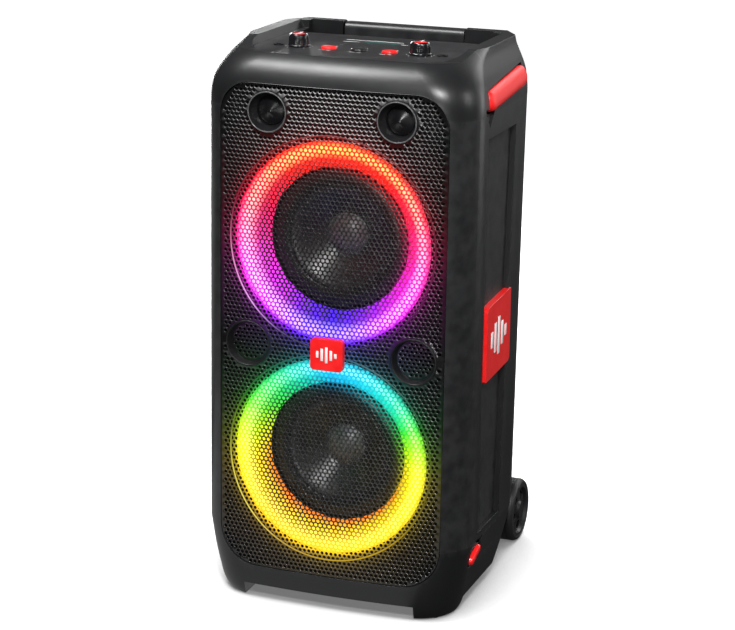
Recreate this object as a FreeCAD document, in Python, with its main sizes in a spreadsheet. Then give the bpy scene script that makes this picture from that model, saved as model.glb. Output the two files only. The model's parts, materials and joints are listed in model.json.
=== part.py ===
import FreeCAD, Part
import math
import os
import re
import Sketcher
from FreeCAD import Placement, Rotation, Vector

# A battery-powered party speaker: two woofers with light rings behind a bowed
# perforated grille, two tweeters, two bass ports, a control panel on top,
# a telescopic handle and two transport wheels.
# Row frame: +Z up, +Y towards the back, origin on the floor under the middle.
# Depths (y) are written from the middle of the grille's front face, which lies
# at front_datum in the row frame.

SIZES = {
    "front_datum": -174.0,
    # shell
    "wall": 4.0,
    "bow_radius": 1264.0,
    "lower_seam": 89.5,
    "upper_seam": 599.0,
    "front_seam": 38.0,
    "tub_half_width": 156.0,
    "side_panel_back": 190.0,
    "base_clearance": 17.0,
    # grille
    "grille_half_width": 139.3,
    "grille_bottom": 41.6,
    "grille_top": 628.7,
    "grille_top_corner": 40.0,
    "grille_bottom_corner": 48.0,
    "grille_sheet": 1.2,
    "fit_gap": 0.4,
    # baffle and drivers
    "baffle_front": 14.0,
    "baffle_back": 26.0,
    "upper_driver_height": 448.1,
    "lower_driver_height": 189.2,
    "driver_hole": 74.0,
    "driver_recess": 28.0,
    "cup_radius": 112.6,
    "cup_floor": 42.0,
    "cup_wall": 3.0,
    "ring_inner": 85.0,
    "ring_flange": 112.0,
    "ring_outer": 118.6,
    "ring_front": 8.0,
    "ring_back": 12.0,
    "ring_deep": 31.0,
    "tweeter_offset": 78.6,
    "tweeter_height": 595.7,
    "tweeter_radius": 23.8,
    "tweeter_body": 20.0,
    "port_offset": 102.9,
    "port_height": 318.6,
    "port_radius": 27.5,
    "port_bore": 23.5,
    "port_length": 106.0,
    # top
    "panel_top": 659.0,
    "panel_thick": 4.0,
    "panel_back": 196.0,
    "control_row": 88.6,
    "knob_offset": 74.6,
    "knob_radius": 12.0,
    "knob_height": 15.0,
    "button_offset": 37.5,
    "button_radius": 9.2,
    "middle_button_radius": 10.0,
    "button_height": 3.4,
    "jack_offset": 100.9,
    "jack_bore": 3.2,
    # handle
    "well_half_width": 118.0,
    "notch_half_width": 78.5,
    "grip_front": 244.0,
    "grip_back": 268.0,
    "well_floor": 612.0,
    "grip_bottom": 641.0,
    "grip_top": 666.5,
    "tube_offset": 58.0,
    "tube_depth": 257.0,
    "tube_foot": 66.0,
    "inner_tube": 8.0,
    "outer_tube": 10.5,
    "sleeve_radius": 13.0,
    "tube_wall": 1.8,
    "slide_gap": 0.3,
    # side trim
    "inset_surface": 160.0,
    "badge_surface": 168.0,
    "inset_front": 66.0,
    "inset_back_low": 149.0,
    "inset_back_high": 174.0,
    "groove_low": 160.0,
    "groove_high": 191.0,
    "cap_back": 186.0,
    "cap_side_top": 58.0,
    # wheels
    "wheel_radius": 40.5,
    "wheel_centre_depth": 314.5,
    "wheel_face": 148.3,
    "wheel_width": 33.0,
    "axle_radius": 5.0,
    "axle_gap": 0.05,
    # back
    "bay_half_width": 62.0,
    "bay_bottom": 128.0,
    "bay_top": 308.0,
    "bay_depth": 24.0,
    "back_face": 310.0,
    "door_half_width": 42.0,
    "door_bottom": 366.0,
    "door_top": 534.0,
}

# Plan outline of the shell at a height: half width, front depth, radius of the
# front corner, depth where the sides start to taper, half width and depth at
# the back.
COLUMNS = ("height", "width", "front", "corner", "taper", "rear", "back")
LOWER_STATIONS = (
    (0.0, 144.0, 6.0, 48.0, 170.0, 112.0, 288.0),
    (6.0, 148.0, 3.5, 48.0, 174.0, 114.0, 290.0),
    (17.0, 152.0, 1.0, 48.0, 180.0, 118.0, 294.0),
    (27.0, 154.5, -0.5, 49.0, 183.0, 122.0, 297.0),
    (45.0, 158.5, -2.0, 49.0, 188.0, 129.0, 303.0),
    (65.0, 162.5, -3.3, 50.0, 192.0, 135.0, 308.0),
    (89.5, 166.5, -4.0, 50.0, 197.0, 136.0, 310.0),
)
MIDDLE_STATIONS = (
    (89.5, 166.5, -4.0, 50.0, 197.0, 136.0, 310.0),
    (599.0, 166.5, -4.0, 50.0, 216.0, 139.0, 310.0),
)
UPPER_STATIONS = (
    (599.0, 166.5, -4.0, 50.0, 216.0, 139.0, 310.0),
    (612.0, 166.2, -4.0, 51.0, 217.0, 137.0, 306.0),
    (625.0, 164.5, -3.0, 53.0, 218.0, 135.0, 301.0),
    (636.0, 161.5, 0.5, 56.0, 219.0, 132.0, 296.0),
    (645.0, 157.5, 6.0, 59.0, 220.0, 128.0, 291.0),
    (652.0, 154.0, 13.0, 62.0, 221.0, 125.0, 286.0),
    (658.0, 151.0, 23.0, 65.0, 222.0, 122.0, 281.0),
    (663.0, 149.0, 36.0, 68.0, 223.0, 120.0, 276.0),
    (669.0, 147.0, 55.0, 70.0, 225.0, 118.0, 270.0),
)
PANEL_OUTLINE = (126.0, 34.0, 46.0, 225.0, 110.0, 260.0)
PANEL_OUTLINE_TOP = (134.0, 28.0, 52.0, 232.0, 116.0, 268.0)
TAPER_FILLET = 12.0
REAR_FILLET = 20.0

doc = FreeCAD.newDocument("party_speaker")
sheet = doc.addObject("Spreadsheet::Sheet", "Dimensions")
PIECES = []


def fill_sheet():
    """Put the driving dimensions and the shell's stations in the sheet."""
    row = 1
    for name, number in SIZES.items():
        sheet.set("A%d" % row, name)
        sheet.set("B%d" % row, str(number))
        sheet.setAlias("B%d" % row, name)
        row += 1
    parts = (("lower", LOWER_STATIONS), ("middle", MIDDLE_STATIONS), ("upper", UPPER_STATIONS))
    for part, stations in parts:
        for index, station in enumerate(stations):
            for column, number in zip(COLUMNS, station):
                sheet.set("B%d" % row, str(number))
                sheet.setAlias("B%d" % row, "%s_%s_%d" % (part, column, index))
                row += 1
    doc.recompute()


def formula(text):
    """Turn a formula in the sheet's words into an expression."""
    def name(word):
        found = word.group()
        return "Dimensions." + found if found in SIZES else found
    return re.sub(r"[a-z][a-z_]*", name, text)


def value(text):
    return float(sheet.evalExpression(formula(text)))


def bind(thing, **sizes):
    for name, text in sizes.items():
        thing.setExpression(name, formula(text))


def put(thing, x="0", y="0", z="0"):
    """Place a thing: y is a depth behind the grille's front face."""
    places = (("x", x), ("y", "front_datum + (%s)" % y), ("z", z))
    for axis, text in places:
        thing.setExpression("Placement.Base." + axis, formula(text))
    return thing


def piece(thing, name):
    thing.Label = name
    PIECES.append(thing)
    return thing


# ---------------------------------------------------------------- features


def new_body(name):
    return doc.addObject("PartDesign::Body", name)


def plane_of(body, role):
    for feature in body.Origin.OriginFeatures:
        if feature.Role == role:
            return feature
    raise ValueError(role)


def attached_sketch(body, role, name):
    sketch = body.newObject("Sketcher::SketchObject", name)
    sketch.AttachmentSupport = [(plane_of(body, role), "")]
    sketch.MapMode = "FlatFace"
    return sketch


def polygon(body, role, points, name):
    """A closed sketch whose corners are held by formulas."""
    sketch = attached_sketch(body, role, name)
    places = [Vector(value(u), value(v), 0) for u, v in points]
    count = len(points)
    for index in range(count):
        sketch.addGeometry(Part.LineSegment(places[index], places[(index + 1) % count]))
    for index in range(count):
        after = (index + 1) % count
        sketch.addConstraint(Sketcher.Constraint("Coincident", index, 2, after, 1))
    for index, (u, v) in enumerate(points):
        for kind, text, number in (("DistanceX", u, places[index].x), ("DistanceY", v, places[index].y)):
            held = sketch.addConstraint(Sketcher.Constraint(kind, -1, 1, index, 1, number))
            sketch.setExpression("Constraints[%d]" % held, formula(text))
    return sketch


def circles(body, role, centres, radius, name):
    sketch = attached_sketch(body, role, name)
    for index, (u, v) in enumerate(centres):
        centre = Vector(value(u), value(v), 0)
        sketch.addGeometry(Part.Circle(centre, Vector(0, 0, 1), value(radius)))
        for kind, text, number in (("DistanceX", u, centre.x), ("DistanceY", v, centre.y)):
            held = sketch.addConstraint(Sketcher.Constraint(kind, -1, 1, index, 3, number))
            sketch.setExpression("Constraints[%d]" % held, formula(text))
        held = sketch.addConstraint(Sketcher.Constraint("Radius", index, value(radius)))
        sketch.setExpression("Constraints[%d]" % held, formula(radius))
    return sketch


def revolved(name, points):
    """Turn a profile of (radius, height) points about the body's Z axis."""
    body = new_body(name)
    sketch = polygon(body, "XZ_Plane", points, name + "_profile")
    turn = body.newObject("PartDesign::Revolution", name + "_turned")
    turn.Profile = sketch
    turn.ReferenceAxis = (sketch, ["V_Axis"])
    turn.Angle = 360
    return body


def padded(name, role, points, length, midplane=False, reverse=False):
    body = new_body(name)
    sketch = polygon(body, role, points, name + "_outline")
    pad = body.newObject("PartDesign::Pad", name + "_pad")
    pad.Profile = sketch
    pad.Midplane = midplane
    pad.Reversed = reverse
    bind(pad, Length=length)
    doc.recompute()
    return body


def round_edges(body, radius, direction, choose=None):
    """Fillet the tip's straight edges that run along a direction."""
    tip = body.Tip
    names = []
    for index, edge in enumerate(tip.Shape.Edges):
        if edge.Curve.TypeId != "Part::GeomLine":
            continue
        along = edge.tangentAt(edge.FirstParameter)
        if abs(along.dot(Vector(*direction))) < 0.999:
            continue
        if choose is None or choose(edge.CenterOfMass):
            names.append("Edge%d" % (index + 1))
    fillet = body.newObject("PartDesign::Fillet", tip.Name + "_round")
    fillet.Base = (tip, names)
    bind(fillet, Radius=radius)
    doc.recompute()
    return body


def block(name, low, high):
    """A box from its low corner to its high corner."""
    thing = doc.addObject("Part::Box", name)
    sizes = ["(%s) - (%s)" % (top, bottom) for bottom, top in zip(low, high)]
    bind(thing, Length=sizes[0], Width=sizes[1], Height=sizes[2])
    return put(thing, *low)


def rounded_block(name, low, high, radius, direction):
    """A box with its edges along one direction rounded."""
    corners = [(low[0], low[1]), (high[0], low[1]), (high[0], high[1]), (low[0], high[1])]
    body = padded(name, "XY_Plane", corners, "(%s) - (%s)" % (high[2], low[2]))
    round_edges(body, radius, direction)
    return put(body, z=low[2])


def rod(name, radius, length, x="0", y="0", z="0", along="z"):
    """A cylinder along x, y or z from a start point."""
    thing = doc.addObject("Part::Cylinder", name)
    bind(thing, Radius=radius, Height=length)
    turns = {
        "x": Rotation(Vector(0, 1, 0), 90),
        "y": Rotation(Vector(1, 0, 0), -90),
        "z": Rotation(),
    }
    thing.Placement = Placement(Vector(), turns[along])
    return put(thing, x, y, z)


def facing(body, along, x="0", y="0", z="0"):
    """Turn a revolved body so its axis points along +y or +x, and place it."""
    turns = {"y": Rotation(Vector(1, 0, 0), -90), "x": Rotation(Vector(0, 1, 0), 90)}
    body.Placement = Placement(Vector(), turns[along])
    return put(body, x, y, z)


def cut(name, base, *tools):
    thing = doc.addObject("Part::Cut", name)
    thing.Base = base
    thing.Tool = tools[0] if len(tools) == 1 else fuse(name + "_tools", *tools)
    return thing


def fuse(name, *items):
    thing = doc.addObject("Part::MultiFuse", name)
    thing.Shapes = list(items)
    return thing


def common(name, base, tool):
    thing = doc.addObject("Part::Common", name)
    thing.Base = base
    thing.Tool = tool
    return thing


def mirrored(name, source):
    thing = doc.addObject("Part::Mirroring", name)
    thing.Source = source
    thing.Base = Vector()
    thing.Normal = Vector(1, 0, 0)
    return thing


def group(name, *items):
    thing = doc.addObject("Part::Compound", name)
    thing.Links = list(items)
    return thing


def both_sides(name, source):
    return group(name, source, mirrored(name + "_other", source))


def made(name, shape):
    thing = doc.addObject("Part::Feature", name)
    thing.Shape = shape
    return thing


# -------------------------------------------------------------------- shell


def rounded_corner(before, corner, after, radius):
    """Start, middle and end of the arc that rounds a corner."""
    to_before = (before - corner).normalize()
    to_after = (after - corner).normalize()
    half_angle = math.acos(to_before.dot(to_after)) / 2
    reach = radius / math.tan(half_angle)
    bisector = (to_before + to_after).normalize()
    middle = corner + bisector * (radius / math.sin(half_angle) - radius)
    return corner + to_before * reach, middle, corner + to_after * reach


def plan_outline(height, width, front, corner, taper, rear, back):
    """The shell's plan outline: bowed front, round front corners, tapered back."""
    bow = value("bow_radius")
    front += value("front_datum")
    taper += value("front_datum")
    back += value("front_datum")
    bow_centre = Vector(0, front + bow, height)
    reach = math.sqrt((bow - corner) ** 2 - (width - corner) ** 2)
    corner_centre = Vector(width - corner, front + bow - reach, height)
    out = (corner_centre - bow_centre).normalize()
    bow_end = corner_centre + out * corner
    corner_middle = corner_centre + (out + Vector(1, 0, 0)).normalize() * corner
    corner_end = corner_centre + Vector(corner, 0, 0)
    taper_point = Vector(width, taper, height)
    rear_point = Vector(rear, back, height)
    rear_middle = Vector(0, back, height)
    taper_arc = rounded_corner(corner_end, taper_point, rear_point, TAPER_FILLET)
    rear_arc = rounded_corner(taper_point, rear_point, rear_middle, REAR_FILLET)

    def flip(point):
        return Vector(-point.x, point.y, point.z)

    edges = [
        Part.Arc(bow_end, corner_middle, corner_end),
        Part.LineSegment(corner_end, taper_arc[0]),
        Part.Arc(*taper_arc),
        Part.LineSegment(taper_arc[2], rear_arc[0]),
        Part.Arc(*rear_arc),
        Part.LineSegment(rear_arc[2], flip(rear_arc[2])),
        Part.Arc(*[flip(point) for point in reversed(rear_arc)]),
        Part.LineSegment(flip(rear_arc[0]), flip(taper_arc[2])),
        Part.Arc(*[flip(point) for point in reversed(taper_arc)]),
        Part.LineSegment(flip(taper_arc[0]), flip(corner_end)),
        Part.Arc(flip(corner_end), flip(corner_middle), flip(bow_end)),
        Part.Arc(flip(bow_end), Vector(0, front, height), bow_end),
    ]
    return Part.Wire([edge.toShape() for edge in edges])


def hull(part, count, inset=0.0, floor=None, roof=None):
    """Loft one part of the shell through its stations, shrunk by an inset."""
    wires = []
    for index in range(count):
        station = {}
        for column in COLUMNS:
            station[column] = float(sheet.get("%s_%s_%d" % (part, column, index)))
        wires.append(plan_outline(
            station["height"],
            station["width"] - inset,
            station["front"] + inset,
            station["corner"] - inset,
            station["taper"],
            station["rear"] - inset,
            station["back"] - inset,
        ))
    solid = Part.makeLoft(wires, True, False)
    box = solid.BoundBox
    low = box.ZMin if floor is None else floor
    high = box.ZMax if roof is None else roof
    if floor is None and roof is None:
        return solid
    span = 2 * max(box.XLength, box.YLength)
    slab = Part.makeBox(span, span, high - low, Vector(-span / 2, -span / 2, low))
    return solid.common(slab)


def top_outline(name, outline, low, high):
    """A prism with the control panel's plan outline."""
    wire = plan_outline(low, *outline)
    solid = Part.Face(wire).extrude(Vector(0, 0, high - low))
    reach = value("panel_back + front_datum") - (0 if name == "panel_space" else value("fit_gap"))
    slab = Part.makeBox(600, 600, 100, Vector(-300, reach - 600, low - 10))
    return made(name, solid.common(slab))


def shrunk(outline, gap):
    width, front, corner, taper, rear, back = outline
    return (width - gap, front + gap, corner - gap, taper, rear - gap, back - gap)


def zone(name, points):
    """A wide prism across the speaker with a side-view (y, z) outline."""
    return put(padded(name, "YZ_Plane", points, "600", midplane=True))


def window(name, gap):
    """The rounded opening in the front frame, or the grille's blank."""
    side = "grille_half_width - (%s)" % gap
    low = "grille_bottom + (%s)" % gap
    high = "grille_top - (%s)" % gap
    corners = [("-(%s)" % side, low), (side, low), (side, high), ("-(%s)" % side, high)]
    body = padded(name, "XZ_Plane", corners, "baffle_front + 20", reverse=True)
    middle = value("grille_bottom + grille_top") / 2
    round_edges(body, "grille_top_corner - (%s)" % gap, (0, 1, 0), lambda at: at.z > middle)
    round_edges(body, "grille_bottom_corner - (%s)" % gap, (0, 1, 0), lambda at: at.z < middle)
    return put(body, y="-20")


def bumper(name, gap):
    """The long side bumper: a faceted pill that leans in at its top."""
    half = "12.5 + (%s)" % gap
    face = "7.5 + (%s)" % gap
    outer = "9 + (%s)" % gap
    shoulder = "4 + (%s)" % gap
    points = [
        ("-9", "-(%s)" % half), (shoulder, "-(%s)" % half), (outer, "-(%s)" % face),
        (outer, face), (shoulder, half), ("-9", half),
    ]
    body = padded(name, "XZ_Plane", points, "140 + 2 * (%s)" % gap, reverse=True)
    round_edges(body, "9", (0, 0, 1), lambda at: at.x > 5)
    lean = Rotation(Vector(0, 1, 0), -14)
    rise = Rotation(Vector(1, 0, 0), 5)
    body.Placement = Placement(Vector(), rise.multiply(lean))
    return put(body, "161", "66 - (%s)" % gap, "613.5")


def low_bumper(name, gap):
    grow = "(%s)" % gap
    low = ("148", "46 - " + grow, "60 - " + grow)
    high = ("167.5", "78 + " + grow, "84 + " + grow)
    return rounded_block(name, low, high, "6", (1, 0, 0))


def build_base(lower, lower_space, opening):
    """Bottom cap with its two front feet, foot pads and small bumpers."""
    foot_bumper = low_bumper("low_bumper", "0")
    piece(both_sides("lower_bumpers", foot_bumper), "lower_bumpers")
    pocket = both_sides("low_bumper_pockets", low_bumper("low_bumper_pocket", "1"))
    front_of_base = zone("front_of_base", [
        ("-30", "1.5"), ("cap_back", "1.5"), ("cap_back", "cap_side_top"),
        ("84", "cap_side_top"), ("60", "lower_seam"), ("-30", "lower_seam"),
    ])
    blank = common("bottom_cap_blank", lower, front_of_base)
    between_feet = block("foot_gap", ("-107.8", "-30", "-5"), ("107.8", "400", "base_clearance"))
    behind_feet = block("rear_foot_gap", ("-200", "62", "-5"), ("200", "400", "base_clearance"))
    cap = cut("bottom_cap", blank, lower_space, opening, between_feet, behind_feet, pocket)
    piece(cap, "bottom_cap")
    foot = rounded_block("foot_pad", ("112", "24", "0"), ("132", "58", "1.5"), "4", (0, 0, 1))
    piece(both_sides("foot_pads", foot), "foot_pads")
    return pocket


def build_sides(middle, middle_space, opening, low_pocket):
    """Front pillars, side panels with their textured insets and badges."""
    pillar_zone = block(
        "pillar_zone", ("grille_half_width - 10", "-30", "lower_seam"), ("200", "front_seam", "upper_seam"))
    tub_clear = block("tub_clear", ("0", "27", "0"), ("tub_half_width", "side_panel_back", "700"))
    pillar = cut("pillar_trim", common("pillar_blank", middle, pillar_zone),
                 middle_space, opening, tub_clear, low_pocket)
    piece(pillar, "right_pillar")
    piece(mirrored("left_pillar", pillar), "left_pillar")

    side_view = zone("side_view", [
        ("front_seam", "lower_seam"), ("groove_low", "lower_seam"),
        ("groove_high", "upper_seam"), ("front_seam", "upper_seam"),
    ])
    right_side = block("right_side", ("tub_half_width", "0", "0"), ("200", "400", "700"))
    panel_blank = common("side_panel_blank", common("side_slice", middle, side_view), right_side)
    recess = zone("inset_recess", [
        ("inset_front", "98"), ("inset_back_low", "98"), ("inset_back_high", "572"), ("inset_front", "572"),
    ])
    badge = side_badge()
    notch = side_notch()
    panel = cut("side_panel", panel_blank, recess, badge, notch)
    piece(panel, "right_side_panel")
    piece(mirrored("left_side_panel", panel), "left_side_panel")
    inset_slab = block("inset_slab", ("tub_half_width", "0", "0"), ("inset_surface", "400", "700"))
    inset = common("side_inset", recess, inset_slab)
    piece(both_sides("side_insets", inset), "side_insets")
    piece(both_sides("side_badges", badge), "side_badges")
    return side_view, notch


def side_badge():
    """The slanted plate on a side: two corners round, two nearly sharp."""
    corners = [("77.2", "280.6"), ("170.6", "284.6"), ("169.4", "374.8"), ("76.8", "370")]
    body = padded("side_badge", "YZ_Plane", corners, "badge_surface - inset_surface")
    round_edges(body, "7", (1, 0, 0), lambda middle: (middle.y < 120) == (middle.z > 330))
    round_edges(body, "1", (1, 0, 0), lambda middle: (middle.y < 90 and middle.z < 290) or middle.z > 374)
    return put(body, x="inset_surface")


def side_notch():
    """The dark V behind each side screw."""
    points = [("52", "607"), ("90", "607"), ("70", "584")]
    body = padded("notch_outline", "YZ_Plane", points, "20")
    return put(body, x="162")


def build_tub(parts, side_view):
    """Rear cabinet: sides, back, wheel wells, service openings."""
    lower, lower_space, middle, middle_space = parts
    behind_frame = block("behind_frame", ("-200", "27", "lower_seam"), ("200", "400", "upper_seam"))
    sides = [
        block("side_slot", ("tub_half_width", "-30", "0"), ("200", "400", "700")),
        block("side_slot_left", ("-200", "-30", "0"), ("-tub_half_width", "400", "700")),
    ]
    front_strip = zone("front_strip", [
        ("0", "lower_seam"), ("front_seam", "lower_seam"), ("front_seam", "upper_seam"), ("0", "upper_seam"),
    ])
    slots = common("side_slots", fuse("slot_sides", *sides), fuse("slot_zone", side_view, front_strip))
    middle_tub = cut("middle_tub", common("middle_behind", middle, behind_frame), slots)
    inner_sides = [
        block("inner_side", ("tub_half_width - wall", "-30", "0"), ("200", "side_panel_back", "700")),
        block("inner_side_left", ("-200", "-30", "0"), ("wall - tub_half_width", "side_panel_back", "700")),
    ]
    middle_room = cut("middle_room", middle_space, *inner_sides)
    lower_zone = zone("lower_zone", [
        ("cap_back", "base_clearance"), ("400", "base_clearance"), ("400", "lower_seam"),
        ("84", "lower_seam"), ("84", "cap_side_top"), ("cap_back", "cap_side_top"),
    ])
    lower_tub = common("lower_tub", lower, lower_zone)
    bridge = rounded_block("axle_bridge", ("-106", "290", "22"), ("106", "328", "66"), "9", (1, 0, 0))
    low_room_back = block("low_room_back", ("-200", "296", "0"), ("200", "400", "90"))
    low_room = cut("low_room", lower_space, low_room_back)
    well_walls = wheel_wells("well_wall", "wall")
    room = cut("tub_room", fuse("tub_rooms", middle_room, low_room), well_walls)
    bay = block("bay_walls", ("-bay_half_width - 3", "back_face - bay_depth - 3", "bay_bottom - 3"),
                ("bay_half_width + 3", "back_face", "bay_top + 3"))
    outer = fuse("tub_outer", middle_tub, lower_tub, bridge)
    shell = fuse("tub_shell", cut("tub_hollow", outer, room), bay)
    bay_room = block("bay_room", ("-bay_half_width", "back_face - bay_depth", "bay_bottom"),
                     ("bay_half_width", "back_face + 5", "bay_top"))
    door_hole = block("door_hole", ("-door_half_width", "280", "door_bottom"),
                      ("door_half_width", "320", "door_top"))
    inlet_hole = block("inlet_hole", ("-26", "270", "139"), ("26", "300", "169"))
    axle_bore = rod("axle_bore", "axle_radius", "400", "-200", "wheel_centre_depth", "wheel_radius", "x")
    tub = cut("tub", shell, wheel_wells("well_space", "0"), bay_room, door_hole, inlet_hole, axle_bore)
    piece(tub, "rear_cabinet")


def wheel_wells(name, grow):
    low = ("106 - (%s)" % grow, "270 - (%s)" % grow, "-10")
    high = ("200", "400", "88 + (%s)" % grow)
    return both_sides(name + "s", block(name, low, high))


def build_top(upper, upper_space, opening, low_notch):
    """Front bezel and top shell with the panel recess and the handle well."""
    side_bumper = bumper("top_bumper", "0")
    piece(both_sides("top_bumpers", side_bumper), "top_bumpers")
    pockets = both_sides("bumper_pockets", bumper("bumper_pocket", "1.2"))
    above = zone("above_rim", [
        ("-30", "659.5"), ("52", "659.5"), ("96", "668.6"), ("255", "668.6"),
        ("276", "659"), ("400", "655"), ("400", "700"), ("-30", "700"),
    ])
    front = zone("front_of_top", [
        ("-30", "upper_seam"), ("front_seam", "upper_seam"), ("96", "675"), ("-30", "675"),
    ])
    panel_space = top_outline("panel_space", PANEL_OUTLINE, value("panel_top - panel_thick"), 660)
    dish_low = plan_outline(value("panel_top"), *PANEL_OUTLINE)
    dish_high = plan_outline(680, *PANEL_OUTLINE_TOP)
    dish = made("panel_dish", Part.makeLoft([dish_low, dish_high], True, True))
    dish_front = common("dish_front", dish, block("dish_zone", ("-200", "-30", "600"), ("200", "230", "700")))
    under_panel = block("under_panel", ("-112", "58", "640"), ("112", "186", "660"))
    open_shell = cut("top_open", upper, above, panel_space, dish_front, under_panel)

    bezel_blank = common("bezel_blank", open_shell, front)
    bezel = cut("top_bezel", bezel_blank, upper_space, opening, pockets, low_notch)
    piece(bezel, "top_bezel")

    well = [
        block("well", ("-well_half_width", "panel_back", "well_floor"), ("well_half_width", "242", "700")),
        block("notch", ("-notch_half_width", "241", "well_floor + 22"), ("notch_half_width", "400", "700")),
        block("grip_pocket", ("-notch_half_width", "241", "well_floor"), ("notch_half_width", "274", "640")),
    ]
    lining = [
        block("well_lining", ("-well_half_width - 3", "panel_back - 3", "well_floor - 3"),
              ("well_half_width + 3", "245", "655")),
        block("notch_lining", ("-notch_half_width - 3", "241", "well_floor - 3"),
              ("notch_half_width + 3", "400", "655")),
    ]
    lining_room = common("lining_room", fuse("linings", *lining), upper_space)
    skin = cut("top_skin", cut("top_behind", open_shell, front), upper_space)
    sleeve_holes = both_sides("sleeve_holes", rod(
        "sleeve_hole", "sleeve_radius", "60", "tube_offset", "tube_depth", "590"))
    under_lining = block("under_lining", ("-notch_half_width - 3", "277", "upper_seam"),
                         ("notch_half_width + 3", "400", "well_floor + 19"))
    top = cut("top_shell", fuse("top_lined", skin, cut("lining_cut", lining_room, under_lining)),
              fuse("wells", *well), pockets, low_notch, sleeve_holes)
    piece(top, "top_shell")


def build_grille():
    bow = rod("bow_outside", "bow_radius", "700", "0", "bow_radius", "0")
    bow_inside = rod("bow_inside", "bow_radius - grille_sheet", "720", "0", "bow_radius", "-10")
    sheet_zone = window("grille_zone", "fit_gap")
    sheet_metal = common("grille_sheet_metal", cut("bow_sheet", bow, bow_inside), sheet_zone)
    holes = [
        both_sides("tweeter_holes", rod(
            "tweeter_hole", "tweeter_radius + fit_gap", "60",
            "tweeter_offset", "-20", "tweeter_height", "y")),
        both_sides("port_holes", rod(
            "port_hole", "port_radius + fit_gap", "60", "port_offset", "-20", "port_height", "y")),
    ]
    piece(cut("grille", sheet_metal, *holes), "grille")
    badge = rounded_block("front_badge_block", ("-20", "-7", "299"), ("20", "0.3", "337"), "5", (0, 1, 0))
    piece(cut("front_badge_cut", badge, bow), "front_badge")


def build_baffle(room):
    slab = block("baffle_slab", ("-143", "baffle_front", "36"), ("143", "baffle_back", "634"))
    board = common("baffle_board", slab, room)
    holes = []
    cups = []
    for name in ("upper", "lower"):
        height = name + "_driver_height"
        cups.append(rod(name + "_cup_wall", "cup_radius + cup_wall", "cup_floor + cup_wall - 20",
                         "0", "20", height, "y"))
        holes.append(rod(name + "_cup_space", "cup_radius", "cup_floor - 10", "0", "10", height, "y"))
        holes.append(rod(name + "_driver_hole", "driver_hole", "60", "0", "0", height, "y"))
    holes.append(both_sides("waveguide_holes", rod(
        "waveguide_hole", "tweeter_body", "60", "tweeter_offset", "0", "tweeter_height", "y")))
    holes.append(both_sides("port_tube_holes", rod(
        "port_tube_hole", "port_bore + 2", "60", "port_offset", "0", "port_height", "y")))
    piece(cut("front_baffle", fuse("baffle_cups", board, *cups), *holes), "front_baffle")


def build_driver(name):
    """One woofer, its light ring and the ring's circuit board."""
    ring_at = {"y": "0", "z": name + "_driver_height"}
    at = {"y": "driver_recess", "z": name + "_driver_height"}

    def turned(part, points):
        body = facing(revolved("%s_%s" % (name, part), points), "y", **at)
        return piece(body, "%s_%s" % (name, part))

    ring = facing(revolved(name + "_light_ring", [
        ("ring_outer", "ring_front"), ("ring_outer", "ring_back"), ("ring_flange", "ring_back"),
        ("ring_inner", "ring_deep + 3"), ("ring_inner", "ring_deep"), ("ring_flange + 2", "ring_front"),
    ]), "y", **ring_at)
    piece(ring, name + "_light_ring")
    turned("basket", [
        ("72", "10.2"), ("81.5", "10.2"), ("81.5", "13.8"),
        ("driver_hole", "13.8"), ("driver_hole - 1", "18"),
        ("46", "54"), ("46", "56"), ("30", "56"), ("30", "54"), ("43", "54"), ("71", "17"),
    ])
    turned("surround", [
        ("62.2", "8"), ("65", "6.2"), ("69", "5.4"), ("73", "6.2"), ("76", "8.5"), ("80", "9"),
        ("80", "10.2"), ("75", "10.2"), ("72", "7.8"), ("69", "7"), ("65.5", "7.8"), ("62.2", "9.6"),
    ])
    turned("cone", [
        ("0", "21"), ("8", "21.7"), ("15", "24"), ("21", "28.5"),
        ("24.5", "33.5"), ("62", "8"), ("62", "10"),
        ("22", "39"), ("19.5", "39"), ("19.5", "33"), ("12", "27"), ("0", "25"),
    ])
    turned("voice_coil", [("19.5", "39"), ("20.6", "39"), ("20.6", "62"), ("19.5", "62")])
    turned("spider", [("20.8", "45"), ("48.4", "45"), ("48.4", "46.2"), ("20.8", "46.2")])
    turned("magnet", [
        ("0", "50"), ("18", "50"), ("18", "76"), ("23", "76"),
        ("23", "56"), ("45", "56"), ("45", "84"), ("0", "84"),
    ])
    return facing(revolved(name + "_led_board", [
        ("cup_radius", "ring_back"), ("ring_outer - 0.6", "ring_back"),
        ("ring_outer - 0.6", "baffle_front"), ("cup_radius", "baffle_front"),
    ]), "y", **ring_at)


def build_tweeters():
    at = {"x": "tweeter_offset", "z": "tweeter_height"}
    guide = facing(revolved("waveguide", [
        ("22.4", "0.4"), ("tweeter_radius", "0.4"), ("tweeter_radius", "baffle_front"),
        ("tweeter_body", "baffle_front"), ("tweeter_body", "baffle_back"), ("15", "baffle_back"),
        ("15", "13.5"), ("18.5", "8"),
    ]), "y", **at)
    piece(both_sides("tweeter_waveguides", guide), "tweeter_waveguides")
    driver = facing(revolved("tweeter", [
        ("0", "4.5"), ("14.4", "13.5"), ("14.4", "baffle_back"),
        ("24", "baffle_back"), ("24", "44"), ("0", "44"),
    ]), "y", **at)
    piece(both_sides("tweeter_drivers", driver), "tweeter_drivers")


def build_ports():
    at = {"x": "port_offset", "z": "port_height"}
    tube = facing(revolved("port", [
        ("port_radius - 1", "2.8"), ("port_radius", "2.8"), ("port_radius", "baffle_front"),
        ("port_bore + 2", "baffle_front"), ("port_bore + 2", "baffle_front + port_length"),
        ("port_bore", "baffle_front + port_length"), ("port_bore", "12"),
    ]), "y", **at)
    piece(both_sides("bass_ports", tube), "bass_ports")
    mesh = rod("port_mesh", "port_bore", "1", "port_offset", "13", "port_height", "y")
    piece(both_sides("port_meshes", mesh), "port_meshes")


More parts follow.
